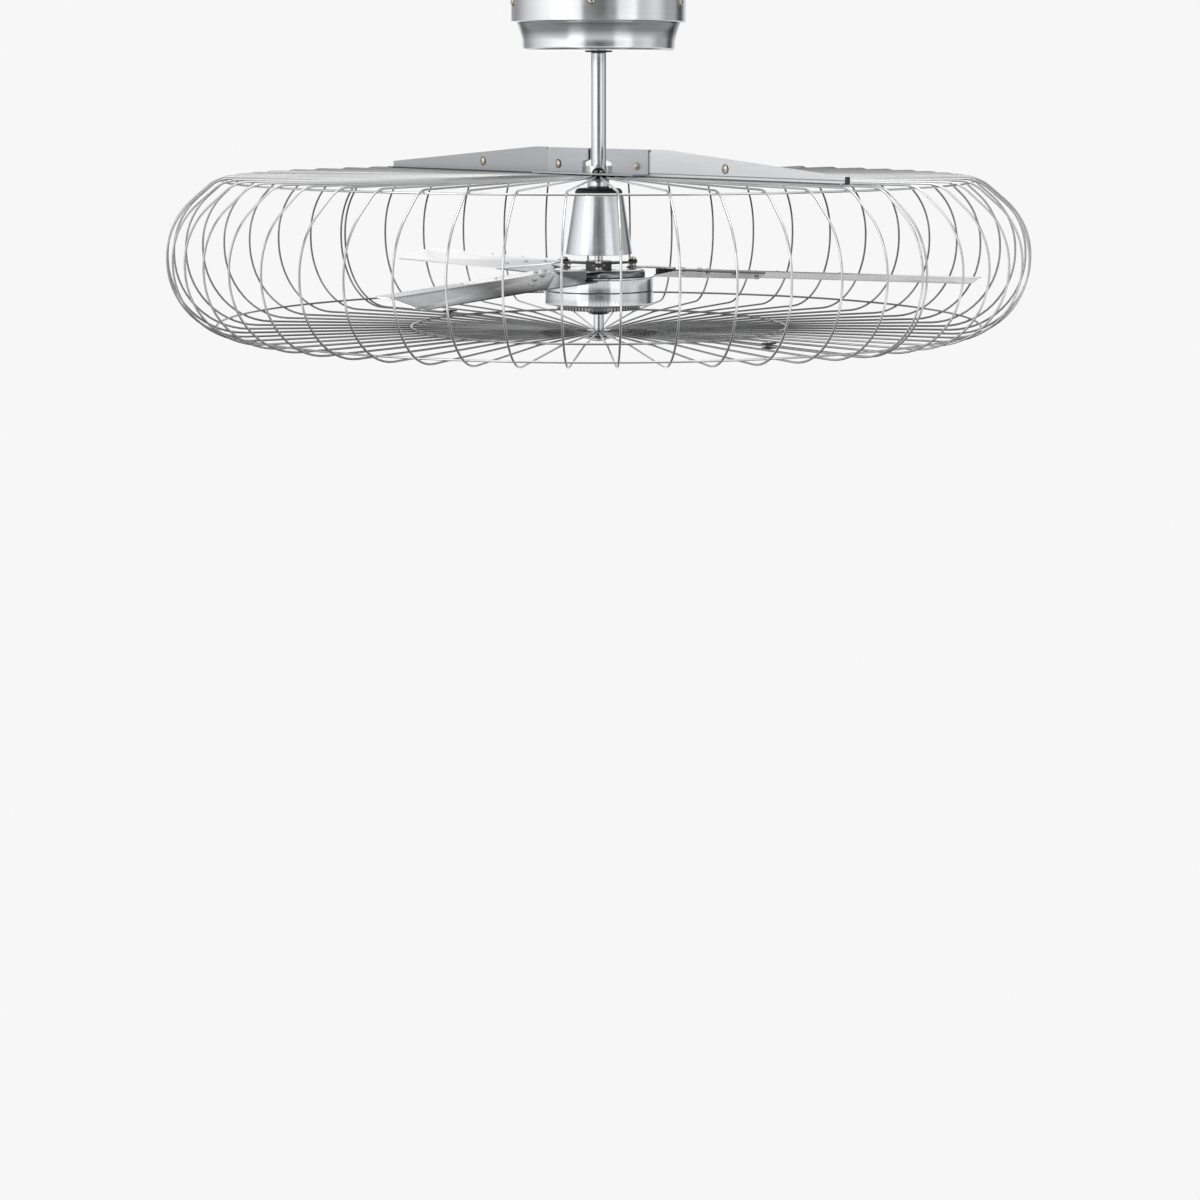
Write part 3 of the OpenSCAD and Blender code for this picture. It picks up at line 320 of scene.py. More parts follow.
def round_about(radius: float, height: float, angle: float) -> Matrix:
    """A place on a cylinder, looking outwards, at an angle in degrees from +X."""
    a = math.radians(angle)
    out = (math.cos(a), math.sin(a), 0.0)
    return facing((radius * out[0], radius * out[1], height), out)


@dataclass
class PanScrew:
    """A pan-head screw with a cross recess, standing on z = 0 with its shank down."""

    head: float
    rise: float
    shank: float
    length: float
    washer: float = 0.0

    def build(self, name: str) -> bpy.types.Object:
        """Turn the screw and press the recess into its head."""
        base = 0.0008 if self.washer else 0.0
        dome = [(1.0, 0.0), (1.0, 0.35), (0.9, 0.66), (0.68, 0.88), (0.38, 0.98)]
        profile = [(0.0, -self.length), (self.shank, -self.length)]
        if self.washer:
            profile += [(self.shank, 0.0), (self.washer, 0.0), (self.washer, base * 0.9)]
        else:
            profile += [(self.shank, 0.0)]
        profile += [(self.head * r, base + self.rise * z) for r, z in dome]
        profile += [(0.0, base + self.rise)]
        screw = Bench.turn(name, profile, closed=False, steps=24, edge=0.0)
        for turn in (0, 90):
            wing = Bench.block("wing", (1.25 * self.head, 0.26 * self.head, self.rise),
                               (0.0, 0.0, base + 1.02 * self.rise))
            wing.data.transform(turned(turn))
            Bench.cut(screw, wing)
        return Bench.soften(screw, 0.0)


@dataclass
class HexNut:
    """A hexagon nut with chamfered corners and the thread's end standing out of it."""

    across: float
    height: float
    thread: float
    stub: float = 0.001

    def build(self, name: str) -> bpy.types.Object:
        """Shape the nut from a six-sided prism and the thread's end from a turned stub."""
        Bench.clear()
        bpy.ops.mesh.primitive_cylinder_add(vertices=6, radius=self.across / 1.732, depth=self.height,
                                            location=(0, 0, self.height / 2))
        nut = bpy.context.object
        bpy.ops.object.transform_apply(location=True, rotation=True, scale=True)
        bpy.ops.object.mode_set(mode="EDIT")
        bpy.ops.mesh.select_mode(type="FACE")
        bpy.ops.mesh.select_all(action="DESELECT")
        mesh = bmesh.from_edit_mesh(nut.data)
        for face in mesh.faces:
            face.select_set(face.normal.z > 0.9)
        bmesh.update_edit_mesh(nut.data)
        bpy.ops.mesh.inset(thickness=0.12 * self.across, depth=0.06 * self.across)
        bpy.ops.mesh.inset(thickness=0.12 * self.across, depth=-0.04 * self.across)
        bpy.ops.object.mode_set(mode="OBJECT")
        top = self.height + self.stub
        stub = Bench.turn("stub", [(0, 0.1 * self.height), (self.thread, 0.1 * self.height),
                                   (self.thread, top - 0.3 * self.thread),
                                   (0.75 * self.thread, top), (0, top)], closed=False, steps=20, edge=0)
        return Bench.soften(Bench.join(name, [nut, stub]), 0.0001, segments=1)


# Finishes


class Graph:
    """A small helper that lays out shader nodes."""

    def __init__(self, tree: bpy.types.NodeTree) -> None:
        """Keep the tree that the nodes go into."""
        self.tree = tree

    @classmethod
    def fresh(cls, owner: bpy.types.Material | bpy.types.World) -> Graph:
        """The emptied shader graph of a material or a world."""
        owner.use_nodes = True
        owner.node_tree.nodes.clear()
        return cls(owner.node_tree)

    def add(self, kind: str, **settings: object) -> bpy.types.Node:
        """Add a node and set its properties."""
        node = self.tree.nodes.new(kind)
        for key, value in settings.items():
            setattr(node, key, value)
        return node

    def wire(self, source: bpy.types.NodeSocket, target: bpy.types.NodeSocket) -> None:
        """Join two sockets."""
        self.tree.links.new(source, target)

    def calc(self, operation: str, first: object, second: object = None) -> bpy.types.NodeSocket:
        """The result of a Math node on sockets or numbers."""
        node = self.add("ShaderNodeMath", operation=operation)
        for slot, value in zip(node.inputs, (first, second)):
            if isinstance(value, bpy.types.NodeSocket):
                self.wire(value, slot)
            elif value is not None:
                slot.default_value = value
        return node.outputs[0]

    def noise(self, vector: bpy.types.NodeSocket, scale: float, detail: float = 3.0, rough: float = 0.6,
              warp: float = 0.0) -> bpy.types.NodeSocket:
        """A Noise Texture's factor."""
        node = self.add("ShaderNodeTexNoise")
        node.inputs["Scale"].default_value = scale
        node.inputs["Detail"].default_value = detail
        node.inputs["Roughness"].default_value = rough
        node.inputs["Distortion"].default_value = warp
        self.wire(vector, node.inputs["Vector"])
        return node.outputs["Fac"]

    def span(self, value: bpy.types.NodeSocket, low: float, high: float, start: float = 0.3,
             stop: float = 0.7) -> bpy.types.NodeSocket:
        """Map a value from start..stop to low..high."""
        node = self.add("ShaderNodeMapRange")
        for name, number in (("From Min", start), ("From Max", stop), ("To Min", low), ("To Max", high)):
            node.inputs[name].default_value = number
        self.wire(value, node.inputs["Value"])
        return node.outputs["Result"]

    def blend(self, factor: bpy.types.NodeSocket, low: Colour, high: Colour) -> bpy.types.NodeSocket:
        """Mix two colours by a mask."""
        node = self.add("ShaderNodeMix", data_type="RGBA")
        self.wire(factor, node.inputs[0])
        node.inputs[6].default_value = (*low, 1.0)
        node.inputs[7].default_value = (*high, 1.0)
        return node.outputs[2]

    def choose(self, factor: bpy.types.NodeSocket, first: bpy.types.NodeSocket,
               second: bpy.types.NodeSocket) -> bpy.types.NodeSocket:
        """The first shader where a factor is 0 and the second where it is 1."""
        node = self.add("ShaderNodeMixShader")
        for source, target in zip((factor, first, second), node.inputs):
            self.wire(source, target)
        return node.outputs[0]

    def shader(self, kind: str, colour: Colour | bpy.types.NodeSocket, strength: float | None = None
               ) -> bpy.types.NodeSocket:
        """A plain shader of one colour, with a strength where it glows.

        Args:
            kind: the node's type.
            colour: a fixed colour, or the socket that gives it.
            strength: how bright it glows, or None for the node's own value.

        Returns:
            The shader's socket.
        """
        node = self.add(kind)
        if isinstance(colour, bpy.types.NodeSocket):
            self.wire(colour, node.inputs["Color"])
        else:
            node.inputs["Color"].default_value = (*colour, 1.0)
        if strength is not None:
            node.inputs["Strength"].default_value = strength
        return node.outputs[0]

    def scaled(self, colour: bpy.types.NodeSocket, share: bpy.types.NodeSocket) -> bpy.types.NodeSocket:
        """A colour times a share."""
        node = self.add("ShaderNodeVectorMath", operation="SCALE")
        self.wire(colour, node.inputs[0])
        self.wire(share, node.inputs["Scale"])
        return node.outputs[0]

    def parts(self, vector: bpy.types.NodeSocket) -> bpy.types.NodeOutputs:
        """The three numbers of a vector."""
        node = self.add("ShaderNodeSeparateXYZ")
        self.wire(vector, node.inputs[0])
        return node.outputs

    def vector(self, *parts: bpy.types.NodeSocket) -> bpy.types.NodeSocket:
        """A vector of three numbers."""
        node = self.add("ShaderNodeCombineXYZ")
        for source, target in zip(parts, node.inputs):
            self.wire(source, target)
        return node.outputs[0]

    def show(self, surface: bpy.types.NodeSocket, owner: str = "Material") -> None:
        """Send a shader to the surface of the material, or of the world."""
        self.wire(surface, self.add(f"ShaderNodeOutput{owner}").inputs["Surface"])


class ToolMarks:
    """Shader node groups for the marks that tools and hands leave on metal."""

    _made: dict[Grain, bpy.types.NodeTree] = {}

    @classmethod
    def group(cls, kind: Grain) -> bpy.types.NodeTree:
        """The node group of one kind of mark, built at its first use."""
        if kind not in cls._made:
            makers = {Grain.TURNED: cls._turned, Grain.DRAWN: cls._drawn, Grain.PLAIN: cls._plain}
            cls._made[kind] = makers[kind]()
        return cls._made[kind]

    @staticmethod
    def _start(name: str) -> tuple[Graph, bpy.types.Node, bpy.types.Node]:
        """A new group with Vector and Fineness going in, and Lines and Patches coming out."""
        tree = bpy.data.node_groups.new(name, "ShaderNodeTree")
        tree.interface.new_socket(name="Vector", in_out="INPUT", socket_type="NodeSocketVector")
        fine = tree.interface.new_socket(name="Fineness", in_out="INPUT", socket_type="NodeSocketFloat")
        fine.default_value = 1000.0
        for output in ("Lines", "Patches"):
            tree.interface.new_socket(name=output, in_out="OUTPUT", socket_type="NodeSocketFloat")
        graph = Graph(tree)
        return graph, graph.add("NodeGroupInput"), graph.add("NodeGroupOutput")

    @classmethod
    def _turned(cls) -> bpy.types.NodeTree:
        """Lines that run round the upright axis, with soft patches over them."""
        graph, into, out = cls._start("turning lines")
        x, y, z = graph.parts(into.outputs["Vector"])
        fineness = into.outputs["Fineness"]
        squares = [graph.calc("MULTIPLY", part, part) for part in (x, y)]
        radius = graph.calc("SQRT", graph.calc("ADD", *squares))
        angle = graph.calc("ARCTAN2", y, x)
        lines = graph.vector(graph.calc("MULTIPLY", radius, fineness), graph.calc("MULTIPLY", z, fineness),
                             graph.calc("MULTIPLY", graph.calc("COSINE", angle), 0.8))
        graph.wire(graph.noise(lines, 1.0, 4.0, 0.75), out.inputs["Lines"])
        graph.wire(graph.noise(into.outputs["Vector"], 28.0, 3.0, 0.55, 0.6), out.inputs["Patches"])
        return graph.tree

    @classmethod
    def _drawn(cls) -> bpy.types.NodeTree:
        """Lines that run along +X, with soft patches over them."""
        graph, into, out = cls._start("drawing lines")
        x, y, z = graph.parts(into.outputs["Vector"])
        fineness = into.outputs["Fineness"]
        lines = graph.vector(graph.calc("MULTIPLY", x, 14.0), graph.calc("MULTIPLY", y, fineness),
                             graph.calc("MULTIPLY", z, fineness))
        graph.wire(graph.noise(lines, 1.0, 4.0, 0.7), out.inputs["Lines"])
        graph.wire(graph.noise(into.outputs["Vector"], 16.0, 3.0, 0.55, 0.8), out.inputs["Patches"])
        return graph.tree

    @classmethod
    def _plain(cls) -> bpy.types.NodeTree:
        """Even fine grain, with soft patches over it."""
        graph, into, out = cls._start("fine grain")
        fine = graph.scaled(into.outputs["Vector"], into.outputs["Fineness"])
        graph.wire(graph.noise(fine, 1.0, 5.0, 0.65), out.inputs["Lines"])
        graph.wire(graph.noise(into.outputs["Vector"], 40.0, 3.0, 0.6, 0.4), out.inputs["Patches"])
        return graph.tree


@dataclass(frozen=True)
class PaintedShade:
    """Painted shade: a darker zone of a finish, in the piece's own directions: along it, across it and by
    height.

    The share of the tone that is left is tone. Along, the zone fades in from the first number to the second.
    Across and in height it fades in over the first two numbers and out over the last two.
    """

    tone: float
    along: tuple[float, float]
    across: tuple[float, float, float, float]
    height: tuple[float, float, float, float] | None = None


@dataclass(frozen=True)
class Finish:
    """One finish: two tones, two roughnesses and the marks that carry them.

    Attributes:
        name: name of the material.
        dark, light: the tones in and between the tool marks.
        smooth, rough: the least and the most roughness.
        grain, fineness, bump: kind, closeness and depth of the tool marks.
        metallic, stretch, coat, sheen: the shader's own values; stretch draws highlights out.
        turn: direction of drawn marks, in degrees from +X.
        shade: share of the tone that is left where the painted shade is full.
        shade_way, shade_inward, shade_span: the shade's direction, how much it gains towards the axis, and
            where it starts and is full along them.
        painted_shades: darker zones of painted shade.
    """

    name: str
    dark: Colour
    light: Colour
    smooth: float
    rough: float
    grain: Grain = Grain.PLAIN
    fineness: float = 1500.0
    bump: float = 0.05
    metallic: float = 1.0
    stretch: float = 0.0
    turn: float = 0.0
    coat: float = 0.0
    sheen: float = 0.0
    shade: float = 1.0
    shade_way: Point = (0.0, 0.0, -1.0)
    shade_inward: float = 0.0
    shade_span: tuple[float, float] = (0.0, 1.0)
    painted_shades: tuple[PaintedShade, ...] = ()

    def build(self) -> bpy.types.Material:
        """Lay out the shader of this finish."""
        material = bpy.data.materials.new(self.name)
        graph = Graph.fresh(material)
        shader = graph.add("ShaderNodeBsdfPrincipled")
        shader.inputs["Metallic"].default_value = self.metallic
        shader.inputs["Anisotropic"].default_value = self.stretch
        shader.inputs["Coat Weight"].default_value = self.coat
        shader.inputs["Sheen Weight"].default_value = self.sheen
        place = graph.add("ShaderNodeMapping")
        place.inputs["Rotation"].default_value = (0.0, 0.0, math.radians(-self.turn))
        graph.wire(graph.add("ShaderNodeTexCoord").outputs["Object"], place.inputs["Vector"])
        marks = graph.add("ShaderNodeGroup")
        marks.node_tree = ToolMarks.group(self.grain)
        marks.inputs["Fineness"].default_value = self.fineness
        graph.wire(place.outputs["Vector"], marks.inputs["Vector"])
        tone = graph.blend(graph.span(marks.outputs["Lines"], 0.0, 1.0, 0.25, 0.75), self.dark, self.light)
        # Painted shade: the tone is darkened along the shade direction and in each shade zone.
        tone = self.paint_shade_zones(graph, self.paint_shade_gradient(graph, tone), place.outputs["Vector"])
        graph.wire(tone, shader.inputs["Base Color"])
        worn = graph.calc("ADD", graph.calc("MULTIPLY", marks.outputs["Patches"], 0.65),
                          graph.calc("MULTIPLY", marks.outputs["Lines"], 0.35))
        graph.wire(graph.span(worn, self.smooth, self.rough), shader.inputs["Roughness"])
        relief = graph.add("ShaderNodeBump")
        relief.inputs["Strength"].default_value = self.bump
        relief.inputs["Distance"].default_value = 0.0002
        graph.wire(marks.outputs["Lines"], relief.inputs["Height"])
        graph.wire(relief.outputs["Normal"], shader.inputs["Normal"])
        if self.stretch > 0 and self.grain is Grain.TURNED:
            shader.inputs["Anisotropic Rotation"].default_value = 0.25
            tangent = graph.add("ShaderNodeTangent", direction_type="RADIAL", axis="Z")
            graph.wire(tangent.outputs[0], shader.inputs["Tangent"])
        graph.show(shader.outputs["BSDF"])
        return material

    def paint_shade_gradient(self, graph: Graph, tone: bpy.types.NodeSocket) -> bpy.types.NodeSocket:
        """Darken the tone with painted shade along the finish's shade direction, less so away from the axis.
        """
        if self.shade == 1.0:
            return tone
        place = graph.add("ShaderNodeTexCoord").outputs["Object"]
        along = graph.add("ShaderNodeVectorMath", operation="DOT_PRODUCT")
        along.inputs[1].default_value = self.shade_way
        graph.wire(place, along.inputs[0])
        level = graph.add("ShaderNodeVectorMath", operation="MULTIPLY")
        level.inputs[1].default_value = (1.0, 1.0, 0.0)
        graph.wire(place, level.inputs[0])
        away = graph.add("ShaderNodeVectorMath", operation="LENGTH")
        graph.wire(level.outputs[0], away.inputs[0])
        depth = graph.calc("SUBTRACT", along.outputs["Value"],
                           graph.calc("MULTIPLY", away.outputs["Value"], self.shade_inward))
        return graph.scaled(tone, graph.span(depth, 1.0, self.shade, *self.shade_span))

    def paint_shade_zones(self, graph: Graph, tone: bpy.types.NodeSocket, place: bpy.types.NodeSocket
                ) -> bpy.types.NodeSocket:
        """Darken the tone with painted shade in each zone, with soft borders."""
        if not self.painted_shades:
            return tone
        x, y, z = graph.parts(place)
        for shade_zone in self.painted_shades:
            amount = graph.span(x, 0.0, 1.0, *shade_zone.along)
            for socket, limits in ((y, shade_zone.across), (z, shade_zone.height)):
                if limits is not None:
                    amount = graph.calc("MULTIPLY", amount, graph.span(socket, 0.0, 1.0, *limits[:2]))
                    amount = graph.calc("MULTIPLY", amount, graph.span(socket, 1.0, 0.0, *limits[2:]))
            loss = graph.calc("MULTIPLY", amount, 1.0 - shade_zone.tone)
            tone = graph.scaled(tone, graph.calc("SUBTRACT", 1.0, loss))
        return tone


BLADE_EDGE_SHADE: PaintedShade = PaintedShade(0.50, (0.0, 0.05), (0.026, 0.033, 0.05, 0.06))
# Painted shade: a darker strip along a blade's lower edge.
"""The darker strip along a blade's lower edge."""


class Finishes:
    """All the finishes of the fan, each built once."""

    TABLE: dict[str, Finish] = {finish.name: finish for finish in (
        Finish("spun aluminium", (0.66, 0.67, 0.69), (0.80, 0.81, 0.83), 0.16, 0.30,
               Grain.TURNED, 2600.0, 0.10, stretch=0.75),
        Finish("lathe cut aluminium", (0.66, 0.67, 0.69), (0.78, 0.79, 0.80), 0.10, 0.18,
               Grain.TURNED, 3200.0, 0.06, stretch=0.7),
        Finish("milled fins", (0.30, 0.30, 0.31), (0.46, 0.46, 0.47), 0.18, 0.32,
               Grain.TURNED, 2400.0, 0.08),
        Finish("satin tube", (0.62, 0.63, 0.65), (0.74, 0.75, 0.77), 0.14, 0.26,
               Grain.TURNED, 2200.0, 0.05),
        # Painted shade: the cup is darker towards its rim, for the dark floor that its flare reflects.
        Finish("spun cup", (0.64, 0.65, 0.67), (0.78, 0.79, 0.81), 0.14, 0.26,
               Grain.TURNED, 2600.0, 0.10, stretch=0.3, shade=0.36, shade_way=(0.0, 0.0, 1.0),
               shade_span=(-0.080, -0.068)),
        # Painted shade: the bars are darker on the -X side, with dark lines painted at the flange's front
        # edge and in the corner above the foot.
        Finish("satin sheet", (0.70, 0.70, 0.71), (0.84, 0.84, 0.85), 0.32, 0.46,
               Grain.DRAWN, 1500.0, 0.06, turn=SPLIT_TURN, shade=0.60,
               shade_way=(-1.0, 0.0, 0.0), shade_span=(-0.06, 0.02), painted_shades=(
                   PaintedShade(0.20, (-1.0, -0.9), (-0.0150, -0.0145, -0.0122, -0.0118)),
                   PaintedShade(0.40, (0.02, 0.08), (-0.0040, -0.0035, 0.0, 0.001),
                          (BAR_FOOT + 0.0036, BAR_FOOT + 0.0042, BAR_FOOT + 0.0050, BAR_FOOT + 0.0056)))),
        Finish("grey sheet", (0.44, 0.45, 0.47), (0.57, 0.58, 0.60), 0.28, 0.42,
               Grain.DRAWN, 1500.0, 0.06, turn=SPLIT_TURN),
        # Painted shade: the wires darken towards the back, the bottom and the axis, and a zone of near wires
        # on the left is darkened too.
        Finish("cage wire", (0.58, 0.58, 0.575), (0.72, 0.72, 0.715), 0.12, 0.22,
               Grain.PLAIN, 900.0, 0.04, shade=0.30, shade_way=(0.0, 1.0, -2.4), shade_inward=0.4,
               shade_span=(0.35, 1.08), painted_shades=(
                   PaintedShade(0.74, (-0.14, -0.34), (-2.0, -1.9, 0.0, 0.2), (-0.55, -0.54, -0.33, -0.31)),)),
        Finish("weld bead", (0.38, 0.37, 0.36), (0.55, 0.54, 0.52), 0.30, 0.50,
               Grain.PLAIN, 1200.0, 0.2),
        Finish("brass plate", (0.44, 0.38, 0.31), (0.80, 0.75, 0.67), 0.10, 0.22,
               Grain.PLAIN, 1500.0, 0.08),
        Finish("black rubber", (0.012, 0.012, 0.013), (0.03, 0.03, 0.031), 0.45, 0.62,
               Grain.PLAIN, 1800.0, 0.18, metallic=0.0, sheen=0.08),
        Finish("black paint", (0.015, 0.015, 0.017), (0.035, 0.035, 0.038), 0.28, 0.42,
               Grain.PLAIN, 2200.0, 0.08, metallic=0.0, coat=0.25),
        Finish("dark burnished steel", (0.20, 0.20, 0.21), (0.34, 0.34, 0.35), 0.20, 0.36,
               Grain.TURNED, 1800.0, 0.10, stretch=0.5),
        Finish("iron hub", (0.08, 0.08, 0.085), (0.17, 0.17, 0.175), 0.26, 0.42,
               Grain.TURNED, 1800.0, 0.10),
        Finish("zinc plate", (0.52, 0.53, 0.54), (0.66, 0.67, 0.68), 0.30, 0.46,
               Grain.PLAIN, 1300.0, 0.08),
        Finish("ground steel", (0.58, 0.59, 0.60), (0.72, 0.73, 0.74), 0.12, 0.24,
               Grain.TURNED, 2600.0, 0.06),
        Finish("white moulding", (0.74, 0.73, 0.70), (0.82, 0.81, 0.78), 0.42, 0.56,
               Grain.PLAIN, 1400.0, 0.06, metallic=0.0),
        Finish("grey sheath", (0.28, 0.28, 0.29), (0.36, 0.36, 0.37), 0.42, 0.56,
               Grain.PLAIN, 1400.0, 0.08, metallic=0.0),
        Finish("plain can", (0.55, 0.56, 0.57), (0.68, 0.69, 0.70), 0.28, 0.42,
               Grain.DRAWN, 900.0, 0.05),
        Finish("varnished iron", (0.10, 0.10, 0.105), (0.20, 0.20, 0.21), 0.35, 0.52,
               Grain.TURNED, 2000.0, 0.20, metallic=0.8),
        Finish("enamelled copper", (0.42, 0.18, 0.09), (0.66, 0.34, 0.18), 0.24, 0.38,
               Grain.DRAWN, 1100.0, 0.35, metallic=0.9),
        Finish("dark iron", (0.27, 0.27, 0.28), (0.38, 0.38, 0.39), 0.16, 0.28,
               Grain.DRAWN, 1300.0, 0.05),
        # The blade sheet, with a painted shade strip along its lower edge; the next two are lit and shaded
        # copies of it.
        Finish("blade satin", (0.72, 0.725, 0.73), (0.82, 0.82, 0.825), 0.15, 0.25,
               Grain.DRAWN, 900.0, 0.08, painted_shades=(BLADE_EDGE_SHADE,)),
        # Painted light: the same blade sheet in a lighter tone.
        Finish("blade satin painted lighter", (0.86, 0.86, 0.865), (0.93, 0.93, 0.935), 0.28, 0.40,
               Grain.DRAWN, 900.0, 0.05),
        # Painted light and shade: the same blade sheet in a lighter tone, with painted shade towards its
        # root and along its fold.
        Finish("blade satin painted light and shade", (0.86, 0.865, 0.87), (0.94, 0.94, 0.945), 0.15, 0.25,
               Grain.DRAWN, 900.0, 0.08, painted_shades=(
                   BLADE_EDGE_SHADE,
                   PaintedShade(0.12, (0.50, 0.33), (-0.0112, -0.0098, 0.05, 0.06)),
                   PaintedShade(0.45, (0.66, 0.48), (-0.0112, -0.0098, -0.007, -0.002)))),
    )}
    _made: dict[str, bpy.types.Material] = {}

    @classmethod
    def get(cls, name: str, turn: float | None = None) -> bpy.types.Material:
        """The material of a finish, turned to a piece's own direction where asked."""
        key = name if turn is None else f"{name} {turn:.0f}"
        if key not in cls._made:
            finish = cls.TABLE[name]
            if turn is not None:
                finish = replace(finish, name=key, turn=turn)
            cls._made[key] = finish.build()
        return cls._made[key]

    @classmethod
    def dress(cls, piece: bpy.types.Object, name: str, turn: float | None = None) -> bpy.types.Object:
        """Give a whole piece one finish."""
        piece.data.materials.clear()
        piece.data.materials.append(cls.get(name, turn))
        return piece


@dataclass
class Assembly:
    """A sub-assembly: it builds pieces, dresses them and hands them to the frame."""

    frame: dict
    body: Body = Body.HANGING

    def hand_in(self, piece: bpy.types.Object, finish: str, slot: Slot, nodes: Sequence[str] = (),
                turn: float | None = None, body: Body | None = None) -> bpy.types.Object:
        """Dress a piece, ride it on its body and hide the CAD nodes that it stands for.

        Args:
            piece: the new piece.
            finish: name of its finish.
            slot: the record's slot; not used.
            nodes: CAD nodes that it replaces.
            turn: direction of drawn lines, in degrees.
            body: the body, where it isn't the assembly's own.

        Returns:
            The same piece.
        """
        Finishes.dress(piece, finish, turn)
        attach(piece, (body or self.body).value)
        if nodes:
            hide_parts(*nodes)
        log.info("%s: %d faces, %s", piece.name, len(piece.data.polygons), finish)
        return piece

    def keep(self, finish: str, *nodes: str, turn: float | None = None) -> None:
        """Give CAD nodes that stay a finish."""
        for node in nodes:
            piece = self.frame["nodes"][node]
            material = Finishes.get(finish, turn)
            if piece.material_slots:
                for slot in piece.material_slots:
                    slot.material = material
            else:
                piece.data.materials.append(material)


# Canopy and hanger


@dataclass
class Canopy(Assembly):
    """The spun canopy with its screws and grommet, and the hanger inside it."""

    body: Body = Body.MOUNT
    radius: float = 0.123
    wall: float = 0.0015
    band: tuple[float, float] = (-0.001, -0.055)
    cup_radius: float = 0.1155
    cup_low_radius: float = 0.1074
    cup_bottom: float = -0.0938
    cup_bend: float = 0.0045
    cup_flare: float = 1.8
    cup_hole: float = 0.01815
    screw_height: float = -0.028
    screw_turn: float = -94.6
    grommet_radius: float = 0.0195
    grommet_hole: float = 0.01605

    def build(self) -> None:
        """Build every piece of the canopy."""
        self.make_band()
        self.make_cup()
        self.make_screws()
        self.make_grommet()
        self.keep("zinc plate", "ceiling_bracket", "hanger_saddle", "hanger_ball", "rod_pins")
        self.keep("brass plate", "saddle_screws")
        self.keep("white moulding", "terminal_block", "ball_liner")
        self.keep("plain can", "run_capacitor", turn=90.0)
        self.keep("grey sheath", "supply_lead")

    def make_band(self) -> None:
        """The upper band, with its lip turned in under the cup's flange."""
        outer, inner = self.radius, self.radius - self.wall
        top, bottom = self.band
        lip = self.cup_radius + 0.0002
        band = Bench.turn("canopy_band_shell", [
            (inner, top), (outer, top), (outer, bottom + 0.0012), (outer - 0.0005, bottom + 0.0004),
            (outer - 0.0014, bottom), (lip, bottom), (lip, bottom + self.wall), (inner, bottom + self.wall)],
            steps=192, edge=0.0002)
        self.hand_in(band, "spun aluminium", Slot.SPUN, ["canopy_band"])

    def make_cup(self) -> None:
        """The cup, flared at its top and rounded at its bottom edge."""
        wall, low, bend = self.wall, self.cup_low_radius, self.cup_bend
        rim, bottom = self.band[1], self.cup_bottom
        outside = [self.flare(k / 12) for k in range(13)]
        outside += arc((low - bend, bottom + bend), bend, range(-18, -91, -18))
        outside.append((self.cup_hole, bottom))
        inside = [(self.cup_hole, bottom + wall), (low - 0.005, bottom + wall), (low - wall, bottom + 0.006)]
        inside += [(radius - wall, height) for radius, height in (self.flare(k / 12) for k in (9, 6, 3, 0))]
        seat = self.radius - wall - 0.0003
        flange = [(self.cup_radius - wall, rim + 0.003), (seat, rim + 0.003), (seat, rim + wall),
                  (self.cup_radius, rim + wall)]
        cup = Bench.turn("canopy_cup_shell", outside + inside + flange, steps=192, edge=0.0)
        self.hand_in(Bench.soften(cup, 0.0, angle=30), "spun cup", Slot.SPUN, ["canopy_cup"])

    def flare(self, share: float) -> tuple[float, float]:
        """Radius and height of the cup's outside, some share of the way down its wall."""
        spread = (self.cup_radius - self.cup_low_radius) * (1.0 - share) ** self.cup_flare
        rim = self.band[1]
        return (self.cup_low_radius + spread, rim + (self.cup_bottom + self.cup_bend - rim) * share)

    def make_screws(self) -> None:
        """The row of pan-head screws round the band."""
        screw = PanScrew(head=0.0046, rise=0.0024, shank=0.002, length=0.006, washer=0.0063).build("screw")
        places = [round_about(self.radius, self.screw_height, self.screw_turn + 72 * k) for k in range(5)]
        screws = Bench.repeat("canopy_screw_set", screw, places)
        self.hand_in(screws, "brass plate", Slot.BRASS, ["canopy_screws"])

    def make_grommet(self) -> None:
        """The grooved rubber ring in the cup's hole."""
        low, high = self.cup_bottom - 0.0022, self.cup_bottom + 0.0048
        out, bore, groove = self.grommet_radius, self.grommet_hole, self.cup_hole - 0.0001
        under, over = self.cup_bottom - 0.0001, self.cup_bottom + self.wall + 0.0001
        grommet = Bench.turn("canopy_grommet_ring", [
            (bore, low), (out - 0.0012, low), (out, low + 0.0012), (out, under), (groove, under),
            (groove, over), (out, over), (out, high - 0.0004), (out - 0.001, high), (bore, high)],
            steps=96, edge=0.0003)
        self.hand_in(grommet, "black rubber", Slot.RUBBER, ["canopy_grommet"])


# Downrod and hub


